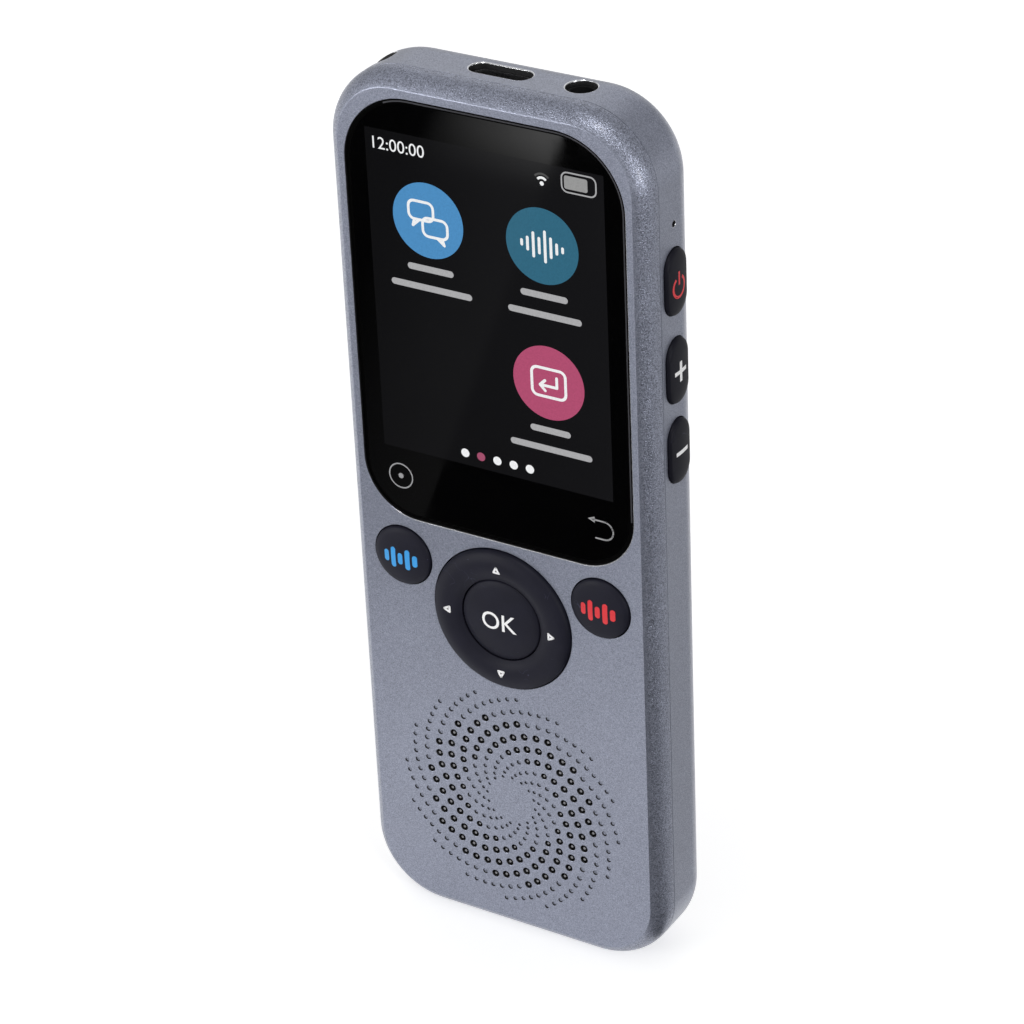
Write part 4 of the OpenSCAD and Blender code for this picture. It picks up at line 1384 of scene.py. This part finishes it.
class TRANSLATOR_OT_stage(Build):
    """Set the floor, the lamps, the even light and the camera"""
    bl_idname = "translator.stage"
    bl_label = "Stage"

    def build(self, scene):
        look = scene.stage_look
        self.camera(scene, look)
        self.sky(scene, look)
        self.ground(look)
        self.cards(look)
        middle_of_case = (0, 0, 0.08)
        self.lamp("left", (-0.72, -0.95, 0.3), middle_of_case, 0.4, look.left)
        right = self.lamp("right", (0.84, -0.64, 0.66), middle_of_case, 0.26, look.right)
        right.visible_glossy = False
        self.lamp("back", (-0.42, 0.95, 0.8), middle_of_case, 1.0, look.back)
        for name, place in (("glint_above", (0.15, -0.62, 1.14)),
                            ("glint_beside", (1.13, -0.41, 0.22))):
            glint = self.lamp(name, place, (0, 0, 0.12), 0.26, look.glint)
            glint.visible_diffuse = False
        scene.view_settings.view_transform = "Standard"

    def camera(self, scene, look):
        data = bpy.data.cameras.new("camera")
        data.lens = look.lens
        data.sensor_width = look.sensor
        data.clip_start, data.clip_end = 0.01, 100
        camera = bpy.data.objects.new("camera", data)
        scene.collection.objects.link(camera)
        right = Vector((0.857150, 0.513505, -0.040070))
        down = Vector((0.224515, -0.442512, -0.868203))
        ahead = Vector((-0.463558, 0.735184, -0.494589))
        turn = Matrix((right, -down, -ahead)).transposed()
        camera.matrix_world = Matrix.Translation((0.24668, -0.39394, 0.33447)) @ turn.to_4x4()
        scene.camera = camera

    def sky(self, scene, look):
        """Even light, seen as plain white."""
        world = bpy.data.worlds.new("sky")
        world.use_nodes = True
        sky = Nodes(world.node_tree)
        path = sky.add("ShaderNodeLightPath")
        seen = path.value("Is Camera Ray").math("MAXIMUM", path.value("Is Transmission Ray"))
        background = world.node_tree.nodes["Background"]
        sky.feed(background.inputs["Strength"], seen * (1 - look.sky) + look.sky)
        sky.feed(background.inputs["Color"], (1, 1, 1))
        scene.world = world

    def ground(self, look):
        """A pale floor that is seen white, itself and in gloss, and keeps its shadows.

        Far from the object it is lit more, so that a low view shows no horizon.
        """
        bm = bmesh.new()
        bmesh.ops.create_grid(bm, x_segments=1, y_segments=1, size=6)
        f = Finish("pale_floor", Specular_IOR_Level=0.0, Emission_Strength=1.0)
        fine = f.grain(0.004, 2.0).value("Fac")
        path = f.add("ShaderNodeLightPath")
        camera = path.value("Is Camera Ray")
        seen = (camera + path.value("Is Glossy Ray") + path.value("Is Transmission Ray")).clamped()
        distance = f.add("ShaderNodeVectorMath", {"operation": "LENGTH"}, f.place()).value("Value")
        level = seen * look.lift + camera * distance.between(0.4, 1.2)
        grey = f.add("ShaderNodeCombineColor", {}, level, level, level)
        f.set(Base_Color=f.mix(fine, scaled(look.floor, 0.985), look.floor), Roughness=0.9,
              Emission_Color=grey.link())
        as_object("floor", bm, f.material)

    def cards(self, look):
        """Dark cards on the floor that only gloss shows, with a pale band for the glass."""
        f = Finish("card", Specular_IOR_Level=0.0, Roughness=1.0, Emission_Strength=1.0)
        x, y = f.across("X"), f.across("Y")
        side = (y + 0.110) * 0.4 - 0.081 - x
        band = (side > 0.0) * (1 - side.between(0.0, 0.034))
        far = 1 - y.between(-0.262, -0.238)
        level = band * (far * 0.94 + 0.06) * look.band + (y > 0.0) * look.side_card
        grey = f.add("ShaderNodeCombineColor", {}, level, level, level)
        f.set(Base_Color=(0.003, 0.003, 0.003), Emission_Color=grey.link())
        bm = bmesh.new()
        for corners in (((-0.27, -0.32), (-0.13, -0.32), (-0.022, -0.085), (-0.12, -0.085)),
                        ((0.024, -0.001), (0.036, -0.36), (0.7, -0.42), (0.7, -0.001)),
                        ((0.03, 0.0), (0.7, 0.0), (0.7, 0.5), (0.1, 0.5))):
            bm.faces.new([bm.verts.new((cx, cy, 0.0005)) for cx, cy in corners])
        cards = as_object("cards", bm, f.material)
        for kind in ("camera", "diffuse", "transmission", "volume_scatter", "shadow"):
            setattr(cards, "visible_" + kind, False)

    def lamp(self, name, place, target, size, power):
        data = bpy.data.lights.new(name, "AREA")
        data.size = size
        data.energy = power
        lamp = bpy.data.objects.new(name, data)
        bpy.context.scene.collection.objects.link(lamp)
        lamp.location = place
        lamp.visible_camera = False
        way = Vector(target) - Vector(place)
        lamp.rotation_euler = way.to_track_quat("-Z", "Y").to_euler()
        return lamp


class TRANSLATOR_PT_panel(bpy.types.Panel):
    """Lists the steps that build the translator."""
    bl_label = "Translator"
    bl_idname = "TRANSLATOR_PT_panel"
    bl_space_type = "VIEW_3D"
    bl_region_type = "UI"
    bl_category = "Translator"

    def draw(self, context):
        for group in LOOKS:
            look = getattr(context.scene, group)
            for name in look.bl_rna.properties.keys():
                if name not in ("rna_type", "name"):
                    self.layout.prop(look, name)
        for step in STEPS:
            self.layout.operator(step.bl_idname)


LOOKS = {"case_look": CaseLook, "spiral_look": SpiralLook, "key_look": KeyLook,
         "screen_look": ScreenLook, "stage_look": StageLook}
STEPS = (TRANSLATOR_OT_front, TRANSLATOR_OT_rear, TRANSLATOR_OT_screen, TRANSLATOR_OT_keypad,
         TRANSLATOR_OT_side_keys, TRANSLATOR_OT_speaker, TRANSLATOR_OT_sockets,
         TRANSLATOR_OT_inside, TRANSLATOR_OT_stage)
CLASSES = (*LOOKS.values(), *STEPS, TRANSLATOR_PT_panel)


def register():
    for cls in CLASSES:
        bpy.utils.register_class(cls)
    for name, cls in LOOKS.items():
        setattr(bpy.types.Scene, name, PointerProperty(type=cls))


def unregister():
    for name in LOOKS:
        delattr(bpy.types.Scene, name)
    for cls in reversed(CLASSES):
        bpy.utils.unregister_class(cls)


def main():
    register()
    for step in STEPS:
        group, name = step.bl_idname.split(".")
        getattr(getattr(bpy.ops, group), name)()


if __name__ == "__main__":
    main()
